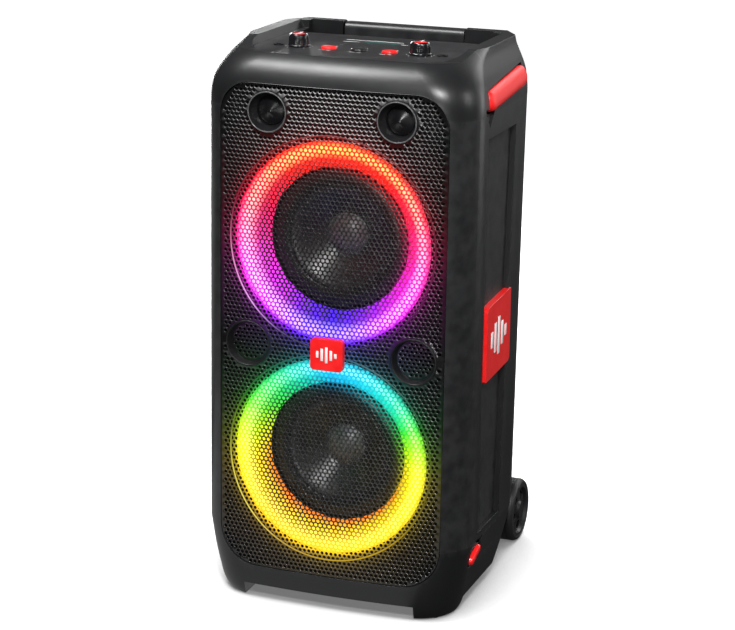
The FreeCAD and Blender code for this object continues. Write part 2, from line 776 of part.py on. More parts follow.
def build_controls():
    """Control panel with knobs, buttons, display window and input jacks."""
    row = "control_row"
    top = "panel_top"
    under = "panel_top - panel_thick"
    plate = top_outline("panel_plate", shrunk(PANEL_OUTLINE, value("fit_gap")), value(under), value(top))
    button_places = (("left_button", "-button_offset", "button_radius"),
                     ("middle_button", "0", "middle_button_radius"),
                     ("right_button", "button_offset", "button_radius"))
    holes = []
    for name, x, radius in button_places:
        holes.append(rod(name + "_hole", radius + " + fit_gap", "20", x, row, "panel_top - 2.5"))
        cap = revolved(name, [
            ("0", "0"), (radius, "0"), (radius, "button_height - 0.8"),
            (radius + " - 1", "button_height"), ("0", "button_height + 0.6"),
        ])
        piece(put(cap, x, row, "panel_top - 1"), name)
    window_low = ("-16", "146", "panel_top - 1.2")
    window_high = ("26", "158", "panel_top + 0.2")
    display = rounded_block("display_window", window_low, window_high, "2", (0, 0, 1))
    piece(display, "display_window")
    holes.append(display)
    jack = revolved("jack", [
        ("jack_bore", "0"), ("5", "0"), ("5", "16"), ("6.2", "16"), ("6.2", "17.2"), ("jack_bore", "17.2")])
    put(jack, "jack_offset", "control_row + 2", "panel_top - 16")
    piece(both_sides("input_jacks", jack), "input_jacks")
    holes.append(both_sides("jack_holes", rod(
        "jack_hole", "5", "40", "jack_offset", "control_row + 2", "panel_top - 20")))
    for name, x in (("left_knob", "-knob_offset"), ("right_knob", "knob_offset")):
        piece(put(knob(name), x, row, "panel_top + 0.4"), name)
    piece(cut("control_panel", plate, *holes), "control_panel")


def knob(name):
    """A fluted knob with a skirt."""
    body = revolved(name, [
        ("0", "0"), ("knob_radius + 0.8", "0"), ("knob_radius + 0.8", "2.2"), ("knob_radius", "3"),
        ("knob_radius - 0.6", "knob_height - 1"), ("knob_radius - 1.8", "knob_height"), ("0", "knob_height"),
    ])
    sketch = circles(body, "XY_Plane", [("knob_radius + 1.2", "0")], "2", name + "_flute")
    sketch.setExpression("AttachmentOffset.Base.z", "3.2")
    doc.recompute()
    pocket = body.newObject("PartDesign::Pocket", name + "_flute_cut")
    pocket.Profile = sketch
    pocket.Type = 1
    pocket.Reversed = True
    doc.recompute()
    pattern = body.newObject("PartDesign::PolarPattern", name + "_flutes")
    pattern.Originals = [pocket]
    pattern.Axis = (sketch, ["N_Axis"])
    pattern.Angle = 360
    pattern.Occurrences = 12
    body.Tip = pattern
    return body


def build_handle():
    """Grip, release button and two telescopic stages in fixed sleeves."""
    grip = rounded_block(
        "grip", ("-notch_half_width + 2", "grip_front", "grip_bottom"),
        ("notch_half_width - 2", "grip_back", "grip_top"), "7", (1, 0, 0))
    button_room = block("button_room", ("-16.4", "250.6", "grip_bottom - 1"), ("16.4", "262.4", "651"))
    piece(cut("handle_grip", grip, button_room), "handle_grip")
    button = rounded_block("release_button", ("-16", "251", "grip_bottom - 3"),
                           ("16", "262", "646"), "2", (0, 0, 1))
    piece(button, "release_button")
    length = "well_floor - tube_foot"
    inner = tube("inner_tube", "inner_tube", "grip_bottom - tube_foot - 6", "tube_foot + 6")
    piece(inner, "handle_inner_tubes")
    piece(tube("outer_tube", "outer_tube", length + " - 1", "tube_foot"), "handle_outer_tubes")
    piece(tube("sleeve", "sleeve_radius", length + " + 3", "tube_foot - 4"), "handle_sleeves")


def tube(name, radius, length, foot):
    """A pair of upright tubes; each one clears the tube inside it."""
    outside = rod(name, radius, length, "tube_offset", "tube_depth", foot)
    bores = {"inner_tube": "inner_tube - tube_wall", "outer_tube": "inner_tube + slide_gap",
             "sleeve": "outer_tube + slide_gap"}
    bore = rod(name + "_bore", bores[name], "800", "tube_offset", "tube_depth", "20")
    return both_sides(name + "s", cut(name + "_wall", outside, bore))


def build_wheels():
    """Axle, hubs with spokes, tyres."""
    axle = rod("axle", "axle_radius", "2 * wheel_face - 12", "6 - wheel_face", "wheel_centre_depth",
               "wheel_radius", "x")
    piece(axle, "wheel_axle")
    at = {"y": "wheel_centre_depth", "z": "wheel_radius"}
    inner_face = "wheel_face - wheel_width"
    hub = facing(revolved("right_hub", [
        ("axle_radius + axle_gap", "0"), ("11", "0"), ("11", "11"), ("31", "11"), ("31", "0"), ("34", "0"),
        ("34", "wheel_width - 1"), ("30", "wheel_width - 1"), ("28", "wheel_width - 5"),
        ("12", "wheel_width - 3"), ("10", "wheel_width"), ("0", "wheel_width"), ("0", "wheel_width - 5.5"),
        ("axle_radius + axle_gap", "wheel_width - 5.5"),
    ]), "x", x=inner_face, **at)
    through_holes(hub, [("14", "-4"), ("25.5", "-8"), ("25.5", "8"), ("14", "4")], 5)
    piece(hub, "right_hub")
    piece(mirrored("left_hub", hub), "left_hub")
    tyre = facing(revolved("right_tyre", [
        ("34", "0.5"), ("37.5", "0.5"), ("wheel_radius - 0.8", "3"), ("wheel_radius", "7"),
        ("wheel_radius", "wheel_width - 8"), ("wheel_radius - 1", "wheel_width - 4"),
        ("37", "wheel_width - 0.5"),
        ("34", "wheel_width - 0.5"),
    ]), "x", x=inner_face, **at)
    piece(tyre, "right_tyre")
    piece(mirrored("left_tyre", tyre), "left_tyre")


def through_holes(body, points, count):
    """Cut one window through a turned body and repeat it round the axis."""
    doc.recompute()
    sketch = polygon(body, "XY_Plane", points, body.Name + "_window")
    doc.recompute()
    pocket = body.newObject("PartDesign::Pocket", body.Name + "_window_cut")
    pocket.Profile = sketch
    pocket.Type = 1
    pocket.Reversed = True
    doc.recompute()
    pattern = body.newObject("PartDesign::PolarPattern", body.Name + "_windows")
    pattern.Originals = [pocket]
    pattern.Axis = (sketch, ["N_Axis"])
    pattern.Angle = 360
    pattern.Occurrences = count
    body.Tip = pattern


def build_back():
    """Rear panel with its sockets, hinged cover, battery and its door."""
    panel = rounded_block(
        "io_panel_blank", ("-bay_half_width + 1", "back_face - bay_depth", "bay_bottom + 1"),
        ("bay_half_width - 1", "back_face - bay_depth + 2.5", "bay_top - 1"), "5", (0, 1, 0))
    inlet_low = ("-25", "back_face - bay_depth - 14", "140")
    inlet_high = ("25", "back_face - bay_depth + 4.5", "168")
    inlet = rounded_block("inlet_body", inlet_low, inlet_high, "3", (0, 1, 0))
    socket = rounded_block("inlet_socket", ("-12", "back_face - bay_depth - 9", "147.5"),
                           ("12", "back_face", "160.5"), "4", (0, 1, 0))
    pin = rod("inlet_pin", "1.2", "9", "4.3", "back_face - bay_depth - 9", "154", "y")
    pins = both_sides("inlet_pins", pin)
    piece(fuse("mains_inlet", cut("inlet_shell", inlet, socket), pins), "mains_inlet")
    sockets = []
    for index, height in enumerate((190, 214, 238)):
        sockets.append(rod("socket_%d" % index, "jack_bore", "20",
                           "30", "back_face - bay_depth - 5", str(height), "y"))
    usb = block("usb_slot", ("-37", "back_face - bay_depth - 5", "206"), ("-23", "back_face", "212"))
    piece(cut("io_panel", panel, inlet, *sockets, usb), "io_panel")
    cover = rounded_block(
        "io_cover", ("-bay_half_width + 0.6", "back_face - 4", "bay_bottom + 0.6"),
        ("bay_half_width - 0.6", "back_face - 0.5", "bay_top - 0.6"), "5", (0, 1, 0))
    piece(cover, "io_cover")
    door = rounded_block(
        "battery_door", ("-door_half_width + 0.5", "back_face - 4", "door_bottom + 0.5"),
        ("door_half_width - 0.5", "back_face", "door_top - 0.5"), "5", (0, 1, 0))
    piece(door, "battery_door")
    pack = rounded_block("battery_pack", ("-38", "206", "370"), ("38", "304", "530"), "6", (0, 1, 0))
    piece(pack, "battery_pack")
    amplifier = fuse("amplifier", block("amplifier_pcb", ("-41", "238", "120"), ("41", "242", "330")),
                     block("heat_sink", ("-36", "242", "200"), ("36", "266", "300")))
    piece(amplifier, "amplifier_board")
    screws = []
    for index, height in enumerate((350, 550)):
        screws.append(rod("back_screw_%d" % index, "3", "1.5", "0", "back_face", str(height), "y"))
    screws.append(both_sides("side_screws", rod("side_screw", "3.8", "2.5", "162", "69", "595", "x")))
    return screws


def write_parts():
    failed = []
    for thing in doc.Objects:
        if "Invalid" in thing.State or "Error" in thing.State:
            failed.append("%s %s" % (thing.Name, thing.State))
    for thing in PIECES:
        if thing.Shape.isNull() or not thing.Shape.isValid() or not thing.Shape.Solids:
            failed.append("%s has no valid solid" % thing.Label)
    if failed:
        raise RuntimeError("; ".join(failed))
    os.makedirs("parts", exist_ok=True)
    for thing in PIECES:
        thing.Shape.exportStep("parts/%s.step" % thing.Label)
        size = (thing.Label, len(thing.Shape.Solids), thing.Shape.Volume)
        print("%-22s %2d solids %10.0f mm3" % size)


def main():
    fill_sheet()
    wall = value("wall")
    lower = made("lower_hull", hull("lower", len(LOWER_STATIONS)))
    lower_space = made("lower_space", hull("lower", len(LOWER_STATIONS), wall, floor=22))
    middle = made("middle_hull", hull("middle", len(MIDDLE_STATIONS)))
    middle_space = made("middle_space", hull("middle", len(MIDDLE_STATIONS), wall))
    upper = made("upper_hull", hull("upper", len(UPPER_STATIONS)))
    upper_space = made("upper_space", hull("upper", len(UPPER_STATIONS), wall, roof=650))
    opening = window("frame_opening", "0")
    low_pocket = build_base(lower, lower_space, opening)
    side_view, notch = build_sides(middle, middle_space, opening, low_pocket)
    build_tub((lower, lower_space, middle, middle_space), side_view)
    notches = both_sides("notches", notch)
    build_top(upper, upper_space, opening, notches)
    build_grille()
    trim = wall + 1
    parts = (("lower", LOWER_STATIONS), ("middle", MIDDLE_STATIONS), ("upper", UPPER_STATIONS))
    rooms = [made(name + "_room", hull(name, len(stations), trim)) for name, stations in parts]
    build_baffle(fuse("baffle_room", *rooms))
    boards = [build_driver("upper"), build_driver("lower")]
    piece(group("led_boards", *boards), "led_boards")
    build_tweeters()
    build_ports()
    build_controls()
    build_handle()
    build_wheels()
    screws = build_back()
    piece(group("screws", *screws), "screws")
    doc.recompute()
    write_parts()


main()
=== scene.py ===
"""Looks of a party speaker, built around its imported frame.

Row frame in metres: +Z up, +Y towards the back, the grille faces -Y.
Profiles and hole patterns below are in millimetres and are scaled by MM.
"""
import json
import math

import bmesh
import bpy
from mathutils import Matrix, Vector
from mathutils.geometry import delaunay_2d_cdt


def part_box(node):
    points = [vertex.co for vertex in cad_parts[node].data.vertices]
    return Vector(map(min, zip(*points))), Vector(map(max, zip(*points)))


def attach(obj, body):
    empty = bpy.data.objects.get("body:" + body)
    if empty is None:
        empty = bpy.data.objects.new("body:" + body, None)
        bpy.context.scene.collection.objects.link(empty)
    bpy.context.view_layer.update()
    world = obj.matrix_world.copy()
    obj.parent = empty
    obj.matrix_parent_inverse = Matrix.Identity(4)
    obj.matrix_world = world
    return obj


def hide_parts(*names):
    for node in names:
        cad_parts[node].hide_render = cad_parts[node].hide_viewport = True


MM = 0.001
BOW_RADIUS = 1264.0
SHEET_THICKNESS = 1.2
HOLE_PITCH, HOLE_RADIUS, HOLE_RIM = 5.65, 2.15, 0.32
HOLE_SIDES = 12
LAMPS_PER_RING = 36
SEAM_WIDTH, SEAM_ANGLE = 0.6, 32
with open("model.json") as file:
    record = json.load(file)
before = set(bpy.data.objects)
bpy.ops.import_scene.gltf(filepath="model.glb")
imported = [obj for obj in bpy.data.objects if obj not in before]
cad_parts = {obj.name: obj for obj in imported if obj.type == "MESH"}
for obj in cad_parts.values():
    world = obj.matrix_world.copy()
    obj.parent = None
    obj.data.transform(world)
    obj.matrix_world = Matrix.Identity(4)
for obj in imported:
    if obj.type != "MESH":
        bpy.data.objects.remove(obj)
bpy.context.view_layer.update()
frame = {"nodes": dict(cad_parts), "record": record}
scene = bpy.context.scene


def box_corners(node):
    """Lowest and highest corner of a node's box in mm."""
    return [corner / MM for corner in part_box(node)]


def middle(node):
    """Middle of a node's box in mm."""
    low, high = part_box(node)
    return (low + high) / 2 / MM


def half(node):
    """Half sizes of a node's box in mm."""
    low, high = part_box(node)
    return (high - low) / 2 / MM


GRILLE_LOW, GRILLE_HIGH = box_corners("grille")
GRILLE_FRONT = GRILLE_LOW.y
RING_CENTRES = {name: middle(name + "_light_ring") for name in ("upper", "lower")}
TWEETER = Vector(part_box("tweeter_waveguides")[1]) / MM
PORT = Vector(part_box("bass_ports")[1]) / MM


# ---- shaders


class Shader:
    """A material whose node tree is written as short calls."""

    def __init__(self, name, color, rough, metallic=0.0, **sockets):
        self.material = bpy.data.materials.new(name)
        self.material.use_nodes = True
        self.tree = self.material.node_tree
        self.nodes = self.tree.nodes
        self.bsdf = self.nodes["Principled BSDF"]
        self.set("Base Color", (*color, 1.0))
        self.set("Roughness", rough)
        self.set("Metallic", metallic)
        for key, value in sockets.items():
            self.set(key.replace("_", " "), value)
        coordinates = self.nodes.new("ShaderNodeTexCoord")
        self.place = coordinates.outputs["Object"]

    def set(self, socket, value):
        self.bsdf.inputs[socket].default_value = value

    def join(self, source, target):
        self.tree.links.new(source, target)

    def feed(self, socket, source):
        self.join(source, self.bsdf.inputs[socket])

    def math(self, operation, a, b=0.0, clamp=False):
        node = self.nodes.new("ShaderNodeMath")
        node.operation = operation
        node.use_clamp = clamp
        for index, value in enumerate((a, b)):
            if isinstance(value, bpy.types.NodeSocket):
                self.join(value, node.inputs[index])
            else:
                node.inputs[index].default_value = value
        return node.outputs[0]

    def split(self, vector):
        """Outputs X, Y and Z of a vector."""
        node = self.nodes.new("ShaderNodeSeparateXYZ")
        self.join(vector, node.inputs["Vector"])
        return node.outputs

    def noise(self, scale, detail=3.0, rough=0.5, stretch=None):
        node = self.nodes.new("ShaderNodeTexNoise")
        node.inputs["Scale"].default_value = scale
        node.inputs["Detail"].default_value = detail
        node.inputs["Roughness"].default_value = rough
        place = self.place
        if stretch:
            mapping = self.nodes.new("ShaderNodeMapping")
            mapping.inputs["Scale"].default_value = stretch
            self.join(place, mapping.inputs["Vector"])
            place = mapping.outputs["Vector"]
        self.join(place, node.inputs["Vector"])
        return node.outputs["Fac"]

    def spread(self, value, low, high, start=0.0, end=1.0):
        """Map a value's start..end to low..high."""
        node = self.nodes.new("ShaderNodeMapRange")
        node.inputs["From Min"].default_value = start
        node.inputs["From Max"].default_value = end
        node.inputs["To Min"].default_value = low
        node.inputs["To Max"].default_value = high
        self.join(value, node.inputs["Value"])
        return node.outputs["Result"]

    def ramp(self, value, stops):
        """Colour by value, through (position, colour) stops."""
        node = self.nodes.new("ShaderNodeValToRGB")
        band = node.color_ramp
        while len(band.elements) < len(stops):
            band.elements.new(0.5)
        for element, (position, color) in zip(band.elements, stops):
            element.position = position
            element.color = (*color, 1.0)
        self.join(value, node.inputs["Fac"])
        return node.outputs["Color"]

    def mix(self, factor, a, b, blend="MIX"):
        node = self.nodes.new("ShaderNodeMix")
        node.data_type = "RGBA"
        node.blend_type = blend
        for value, name in ((factor, "Factor_Float"), (a, "A_Color"), (b, "B_Color")):
            socket = next(s for s in node.inputs if s.identifier == name)
            if isinstance(value, bpy.types.NodeSocket):
                self.join(value, socket)
            elif name == "Factor_Float":
                socket.default_value = value
            else:
                socket.default_value = (*value, 1.0)
        return next(s for s in node.outputs if s.identifier == "Result_Color")

    def bump(self, height, distance, strength=1.0, normal=None):
        node = self.nodes.new("ShaderNodeBump")
        node.inputs["Distance"].default_value = distance
        node.inputs["Strength"].default_value = strength
        self.join(height, node.inputs["Height"])
        if normal is not None:
            self.join(normal, node.inputs["Normal"])
        return node.outputs["Normal"]

    def soft_edges(self, radius):
        node = self.nodes.new("ShaderNodeBevel")
        node.samples = 4
        node.inputs["Radius"].default_value = radius
        return node.outputs["Normal"]

    def worn_edges(self, color, edge_color):
        """Lighter, rubbed convex edges."""
        geometry = self.nodes.new("ShaderNodeNewGeometry")
        rub = self.spread(geometry.outputs["Pointiness"], 0.0, 1.0, 0.53, 0.62)
        rub = self.math("MULTIPLY", rub, self.spread(self.noise(60.0), 0.2, 1.0, 0.35, 0.65))
        self.feed("Base Color", self.mix(rub, color, edge_color))


def plastic(name, color, rough, grain, depth, mottle=0.05, edge=0.0006, **sockets):
    """Moulded plastic: spark-eroded grain, mottled gloss, soft rubbed edges."""
    shader = Shader(name, color, rough, **sockets)
    broad = shader.noise(9.0, 4.0, 0.6)
    shader.feed("Roughness", shader.spread(broad, rough - mottle, rough + mottle, 0.3, 0.7))
    fine = shader.noise(grain, 2.0, 0.6)
    shader.feed("Normal", shader.bump(fine, depth, 0.35, shader.soft_edges(edge)))
    lighter = tuple(min(1.0, c * 1.5 + 0.01) for c in color)
    shader.worn_edges(color, lighter)
    return shader.material


def ring_glow(shader, centre):
    """Radius in mm and clock angle (0 to 1, clockwise from the top) round a light ring."""
    place = shader.split(shader.place)
    x = shader.math("MULTIPLY", place["X"], 1 / MM)
    z = shader.math("SUBTRACT", shader.math("MULTIPLY", place["Z"], 1 / MM), centre.z)
    squares = shader.math("ADD", shader.math("MULTIPLY", x, x), shader.math("MULTIPLY", z, z))
    radius = shader.math("SQRT", squares)
    angle = shader.math("ARCTAN2", x, z)
    turn = shader.math("FRACT", shader.math("ADD", shader.math("DIVIDE", angle, 2 * math.pi), 1.0))
    return radius, turn


# colours round each ring by clock position in degrees
UPPER_COLORS = (
    (0, (1.0, 0.008, 0.0)), (40, (1.0, 0.004, 0.0)), (70, (1.0, 0.0, 0.05)), (95, (1.0, 0.0, 0.25)),
    (120, (0.95, 0.0, 0.65)), (142, (0.55, 0.0, 0.95)), (160, (0.2, 0.005, 1.0)), (180, (0.06, 0.004, 1.0)),
    (202, (0.14, 0.005, 1.0)), (222, (0.55, 0.01, 1.0)), (245, (1.0, 0.02, 0.85)), (268, (1.0, 0.01, 0.3)),
    (295, (1.0, 0.0, 0.06)), (325, (1.0, 0.002, 0.0)), (360, (1.0, 0.008, 0.0)),
)
LOWER_COLORS = (
    (0, (0.0, 0.42, 0.78)), (25, (0.0, 0.55, 0.68)), (50, (0.0, 0.62, 0.35)), (66, (0.02, 0.72, 0.03)),
    (80, (0.35, 0.85, 0.0)), (98, (0.95, 0.8, 0.0)), (140, (1.0, 0.64, 0.0)), (180, (1.0, 0.62, 0.0)),
    (225, (1.0, 0.56, 0.0)), (262, (1.0, 0.74, 0.0)), (285, (0.5, 0.85, 0.0)), (302, (0.06, 0.72, 0.02)),
    (322, (0.0, 0.62, 0.15)), (340, (0.0, 0.55, 0.45)), (360, (0.0, 0.42, 0.78)),
)
# the same for the hot spots over the lamps
UPPER_HOT = (
    (0, (1.0, 0.62, 0.1)), (45, (1.0, 0.52, 0.16)), (75, (1.0, 0.45, 0.4)), (120, (1.0, 0.42, 0.95)),
    (180, (0.45, 0.32, 1.0)), (235, (1.0, 0.5, 1.0)), (280, (1.0, 0.46, 0.5)), (318, (1.0, 0.5, 0.2)),
    (360, (1.0, 0.62, 0.1)),
)
LOWER_HOT = (
    (0, (0.2, 0.75, 0.85)), (45, (0.22, 0.8, 0.5)), (75, (0.5, 0.88, 0.16)), (110, (0.95, 0.85, 0.13)),
    (180, (1.0, 0.8, 0.1)), (260, (0.95, 0.9, 0.12)), (300, (0.42, 0.85, 0.2)), (330, (0.2, 0.78, 0.45)),
    (360, (0.2, 0.75, 0.85)),
)
RING_COLORS = {"upper": UPPER_COLORS, "lower": LOWER_COLORS}
HOT_COLORS = {"upper": UPPER_HOT, "lower": LOWER_HOT}


def round_ring(shader, colors, turn):
    return shader.ramp(turn, [(degrees / 360, color) for degrees, color in colors])


def grey(level):
    return (level, level, level)


def across_ring(shader, radius, low, high, stops):
    """A grey level by radius in mm."""
    scaled = [((r - low) / (high - low), grey(level)) for r, level in stops]
    return shader.ramp(shader.spread(radius, 0.0, 1.0, low, high), scaled)


def glow(shader, color, level, strength):
    scaled = shader.nodes.new("ShaderNodeVectorMath")
    scaled.operation = "SCALE"
    shader.join(color, scaled.inputs[0])
    shader.join(level, scaled.inputs["Scale"])
    shader.feed("Emission Color", scaled.outputs["Vector"])
    shader.set("Emission Strength", strength)


def light_guide(name):
    """Frosted light guide: hot spots over the lamps outside, saturated colour inside."""
    shader = Shader(name + "_light", (0.05, 0.05, 0.05), 0.55, Specular_IOR_Level=0.15)
    shader.feed("Normal", shader.bump(shader.noise(700.0, 2.0), 0.0001, 0.4))
    radius, turn = ring_glow(shader, RING_CENTRES[name])
    hue = round_ring(shader, RING_COLORS[name], turn)
    if name == "lower":
        inner = shader.mix(shader.spread(radius, 0.85, 0.0, 86.0, 95.0), hue, (1.0, 0.12, 0.0))
        low_half = shader.ramp(turn, [(0.24, grey(0)), (0.34, grey(1)), (0.7, grey(1)), (0.8, grey(0))])
        hue = shader.mix(low_half, hue, inner)
    hot = round_ring(shader, HOT_COLORS[name], turn)
    heat = across_ring(shader, radius, 80.0, 120.0, [
        (80, 0.0), (97, 0.02), (103, 0.6), (108, 0.9), (113, 0.75), (117, 0.1)])
    lamps = shader.math("SINE", shader.math("MULTIPLY", turn, 2 * math.pi * LAMPS_PER_RING))
    power = across_ring(shader, radius, 80.0, 120.0, [
        (80, 0.35), (86, 0.75), (98, 0.85), (104, 1.0), (110, 1.05), (115, 0.9), (119, 0.6)])
    level = shader.math("MULTIPLY", power, shader.spread(lamps, 0.88, 1.08, -1, 1))
    glow(shader, shader.mix(heat, hue, hot), level, 1.9)
    return shader.material


def grille_coat_and_painted_glow():
    """Black powder-coated steel, with the rings' light painted on as a glow round the edges of its holes.

    Hole edges that face up also get painted glints near the top, away from the rings, standing in for a
    soft light from above.
    """
    shader = Shader("grille_coat_and_painted_glow", (0.003, 0.003, 0.0033), 0.2, Specular_IOR_Level=0.7)
    shader.feed("Roughness", shader.spread(shader.noise(14.0, 4.0), 0.16, 0.26, 0.3, 0.7))
    shader.feed("Normal", shader.bump(shader.noise(2600.0, 2.0), 0.00001, 0.3))
    painted_light = None
    outside = 1.0
    for name in ("upper", "lower"):
        radius, turn = ring_glow(shader, RING_CENTRES[name])
        outside = shader.math("MULTIPLY", shader.spread(radius, 0.12, 1.0, 118.0, 128.0), outside)
        hue = round_ring(shader, RING_COLORS[name], turn)
        # painted glow: each ring's colour is painted on the sheet as emission, fading with distance from
        # the ring
        painted_glow_fall = across_ring(shader, radius, 60.0, 180.0, [
            (60, 0.0), (76, 0.004), (85, 0.03), (91, 0.25), (99, 0.5), (103, 0.9), (114, 1.0),
            (118, 0.8), (121, 0.3), (126, 0.1), (142, 0.02), (180, 0.0)])
        lit = shader.mix(1.0, hue, painted_glow_fall, "MULTIPLY")
        painted_light = lit if painted_light is None else shader.mix(1.0, painted_light, lit, "ADD")
    # painted glints: upward-facing surfaces near the top middle glow faintly in place of highlights from a
    # light above, kept off the rings by outside
    normal = shader.split(shader.nodes.new("ShaderNodeNewGeometry").outputs["Normal"])
    place = shader.split(shader.place)
    upward = shader.math("MULTIPLY", normal["Z"], 1.1, clamp=True)
    height = shader.ramp(shader.spread(place["Z"], 0.0, 1.0, 0.09, 0.6), [
        (0.0, grey(0.03)), (0.5, grey(0.06)), (0.75, grey(0.16)), (0.92, grey(0.8))])
    inward = shader.spread(shader.math("ABSOLUTE", place["X"]), 1.0, 0.12, 0.02, 0.13)
    painted_light_catch = shader.math("MULTIPLY", shader.math("MULTIPLY", upward, height), inward)
    painted_light_catch = shader.math("MULTIPLY", painted_light_catch, outside)
    painted_light = shader.mix(1.0, painted_light, painted_light_catch, "ADD")
    shader.feed("Emission Color", painted_light)
    shader.set("Emission Strength", 1.25)
    return shader.material


def bead_coat_and_painted_glow(name):
    """The embossed bead round a light ring, with the ring's light painted on as a glow and a painted
    highlight low on the left.
    """
    shader = Shader(name + "_bead", (0.01, 0.01, 0.01), 0.45, Specular_IOR_Level=0.3)
    shader.feed("Roughness", shader.spread(shader.noise(40.0), 0.4, 0.52, 0.3, 0.7))
    _, turn = ring_glow(shader, RING_CENTRES[name])
    hue = round_ring(shader, RING_COLORS[name], turn)
    hot = round_ring(shader, HOT_COLORS[name], turn)
    low = 0.5 if name == "lower" else 0.06
    # painted highlight: emission level by clock angle, strongest low on the left, where it is also whitened
    painted_light_catch = shader.ramp(turn, [(0.0, grey(0.2)), (0.3, grey(0.12)), (0.42, grey(low)), (0.57, grey(low)),
                               (0.64, grey(0.9)), (0.71, grey(0.8)), (0.78, grey(0.25)), (1.0, grey(0.2))])
    painted_whitening = shader.ramp(turn, [(0.55, grey(0)), (0.64, grey(0.8)), (0.72, grey(0.7)), (0.8, grey(0))])
    glow(shader, shader.mix(painted_whitening, hue, hot), painted_light_catch, 1.0)
    return shader.material


SHELL = plastic("shell_satin", (0.0075, 0.0078, 0.0084), 0.38, 1500.0, 0.00003, Specular_IOR_Level=0.5)
PANEL = plastic("panel_satin", (0.008, 0.008, 0.009), 0.42, 1900.0, 0.00005, Specular_IOR_Level=0.4)
INSET = plastic("inset_grain", (0.008, 0.0082, 0.0088), 0.6, 620.0, 0.0004, mottle=0.06,
                Specular_IOR_Level=0.25)
# lighter grey for the tweeter rims: a painted highlight along their edges
RIM_HIGHLIGHT_GREY = plastic("rim_highlight_grey", (0.09, 0.09, 0.092), 0.3, 900.0, 0.00002, edge=0.0003)
SATIN_BLACK = plastic("satin_black", (0.009, 0.009, 0.01), 0.36, 900.0, 0.00003, edge=0.0004)
BAFFLE = plastic("baffle_black", (0.004, 0.004, 0.004), 0.6, 1200.0, 0.0001, Specular_IOR_Level=0.2)
RED_SATIN = plastic("red_satin", (0.9, 0.01, 0.01), 0.46, 1100.0, 0.00005, edge=0.001)
RED_GLOSS = plastic("red_gloss", (0.9, 0.009, 0.009), 0.3, 260.0, 0.00002, mottle=0.03, edge=0.0008,
                    Coat_Weight=0.35, Coat_Roughness=0.15)
BLACK_GLOSS = plastic("black_gloss", (0.006, 0.006, 0.007), 0.2, 300.0, 0.00002, mottle=0.04, edge=0.0006,
                      Coat_Weight=0.4, Coat_Roughness=0.1)
RUBBER = plastic("rubber_matt", (0.02, 0.02, 0.02), 0.72, 900.0, 0.00012)
TYRE = plastic("tyre_rubber", (0.012, 0.012, 0.0125), 0.5, 700.0, 0.00012)
WHITE_INK = plastic("white_ink", (0.86, 0.86, 0.86), 0.4, 800.0, 0.00003)
GRILLE_COAT_AND_PAINTED_GLOW = grille_coat_and_painted_glow()


def metal(name, color, rough, stretch):
    """Brushed or drawn metal with fine scratches along one direction."""
    shader = Shader(name, color, rough, metallic=1.0)
    lines = shader.noise(500.0, 4.0, 0.7, stretch=stretch)
    shader.feed("Roughness", shader.spread(lines, rough - 0.08, rough + 0.1, 0.3, 0.7))
    shader.feed("Normal", shader.bump(lines, 0.00002, 0.4, shader.soft_edges(0.0003)))
    shader.feed("Base Color", shader.mix(shader.noise(30.0), color, tuple(c * 0.8 for c in color)))
    return shader.material


STEEL = metal("steel_brushed", (0.55, 0.55, 0.57), 0.3, (1.0, 30.0, 30.0))
BLACK_STEEL = metal("black_zinc", (0.05, 0.05, 0.052), 0.38, (20.0, 20.0, 1.0))
ANODISED = metal("anodised_black", (0.06, 0.06, 0.065), 0.32, (40.0, 40.0, 1.0))
IRON = metal("zinc_iron", (0.3, 0.3, 0.31), 0.45, (1.0, 1.0, 1.0))
BASKET = metal("basket_coat", (0.03, 0.03, 0.03), 0.5, (1.0, 1.0, 1.0))


def pulp(name, color, rough, **sockets):
    """Pressed paper pulp with loose fibres."""
    shader = Shader(name, color, rough, **sockets)
    fibres = shader.noise(420.0, 5.0, 0.7)
    cloud = shader.noise(70.0, 3.0, 0.6)
    patches = shader.spread(cloud, 0.0, 1.0, 0.35, 0.65)
    shader.feed("Base Color", shader.mix(patches, color, tuple(c * 1.35 for c in color)))
    shader.feed("Roughness", shader.spread(fibres, rough - 0.05, rough + 0.07, 0.3, 0.7))
    shader.feed("Normal", shader.bump(fibres, 0.00006, 0.3))
    return shader.material


CONE = pulp("cone_pulp", (0.026, 0.025, 0.027), 0.38, Specular_IOR_Level=1.0, Coat_Weight=0.5,
            Coat_Roughness=0.34)
CAP = pulp("dust_cap", (0.15, 0.145, 0.153), 0.4, Specular_IOR_Level=1.0, Coat_Weight=0.6,
           Coat_Roughness=0.4)
SURROUND = plastic("surround_rubber", (0.03, 0.029, 0.031), 0.32, 900.0, 0.00008)
CLOTH = pulp("spider_cloth", (0.4, 0.28, 0.12), 0.85)
BOARD = plastic("circuit_mask", (0.012, 0.06, 0.02), 0.35, 600.0, 0.0001)
FORMER = metal("coil_former", (0.6, 0.6, 0.6), 0.35, (1.0, 40.0, 1.0))
WRAP = plastic("battery_wrap", (0.02, 0.02, 0.025), 0.35, 200.0, 0.0001)


def display():
    """Dark window over a row of faint teal level bars."""
    shader = Shader("display_window", (0.004, 0.02, 0.02), 0.12, Coat_Weight=1.0, Coat_Roughness=0.05)
    bar_pitch = 2.6 * MM
    x = shader.split(shader.place)["X"]
    across = shader.math("FRACT", shader.math("MULTIPLY", x, 1 / bar_pitch))
    bars = shader.ramp(across, [(0.0, grey(0)), (0.25, grey(1)), (0.7, grey(1)), (0.9, grey(0))])
    patchy = shader.spread(shader.noise(120.0), 0.3, 1.0, 0.35, 0.65)
    lit = shader.mix(patchy, (0.0, 0.02, 0.018), (0.0, 0.16, 0.12))
    shader.feed("Emission Color", shader.mix(1.0, lit, bars, "MULTIPLY"))
    shader.set("Emission Strength", 1.0)
    return shader.material


DISPLAY = display()


# ---- builders


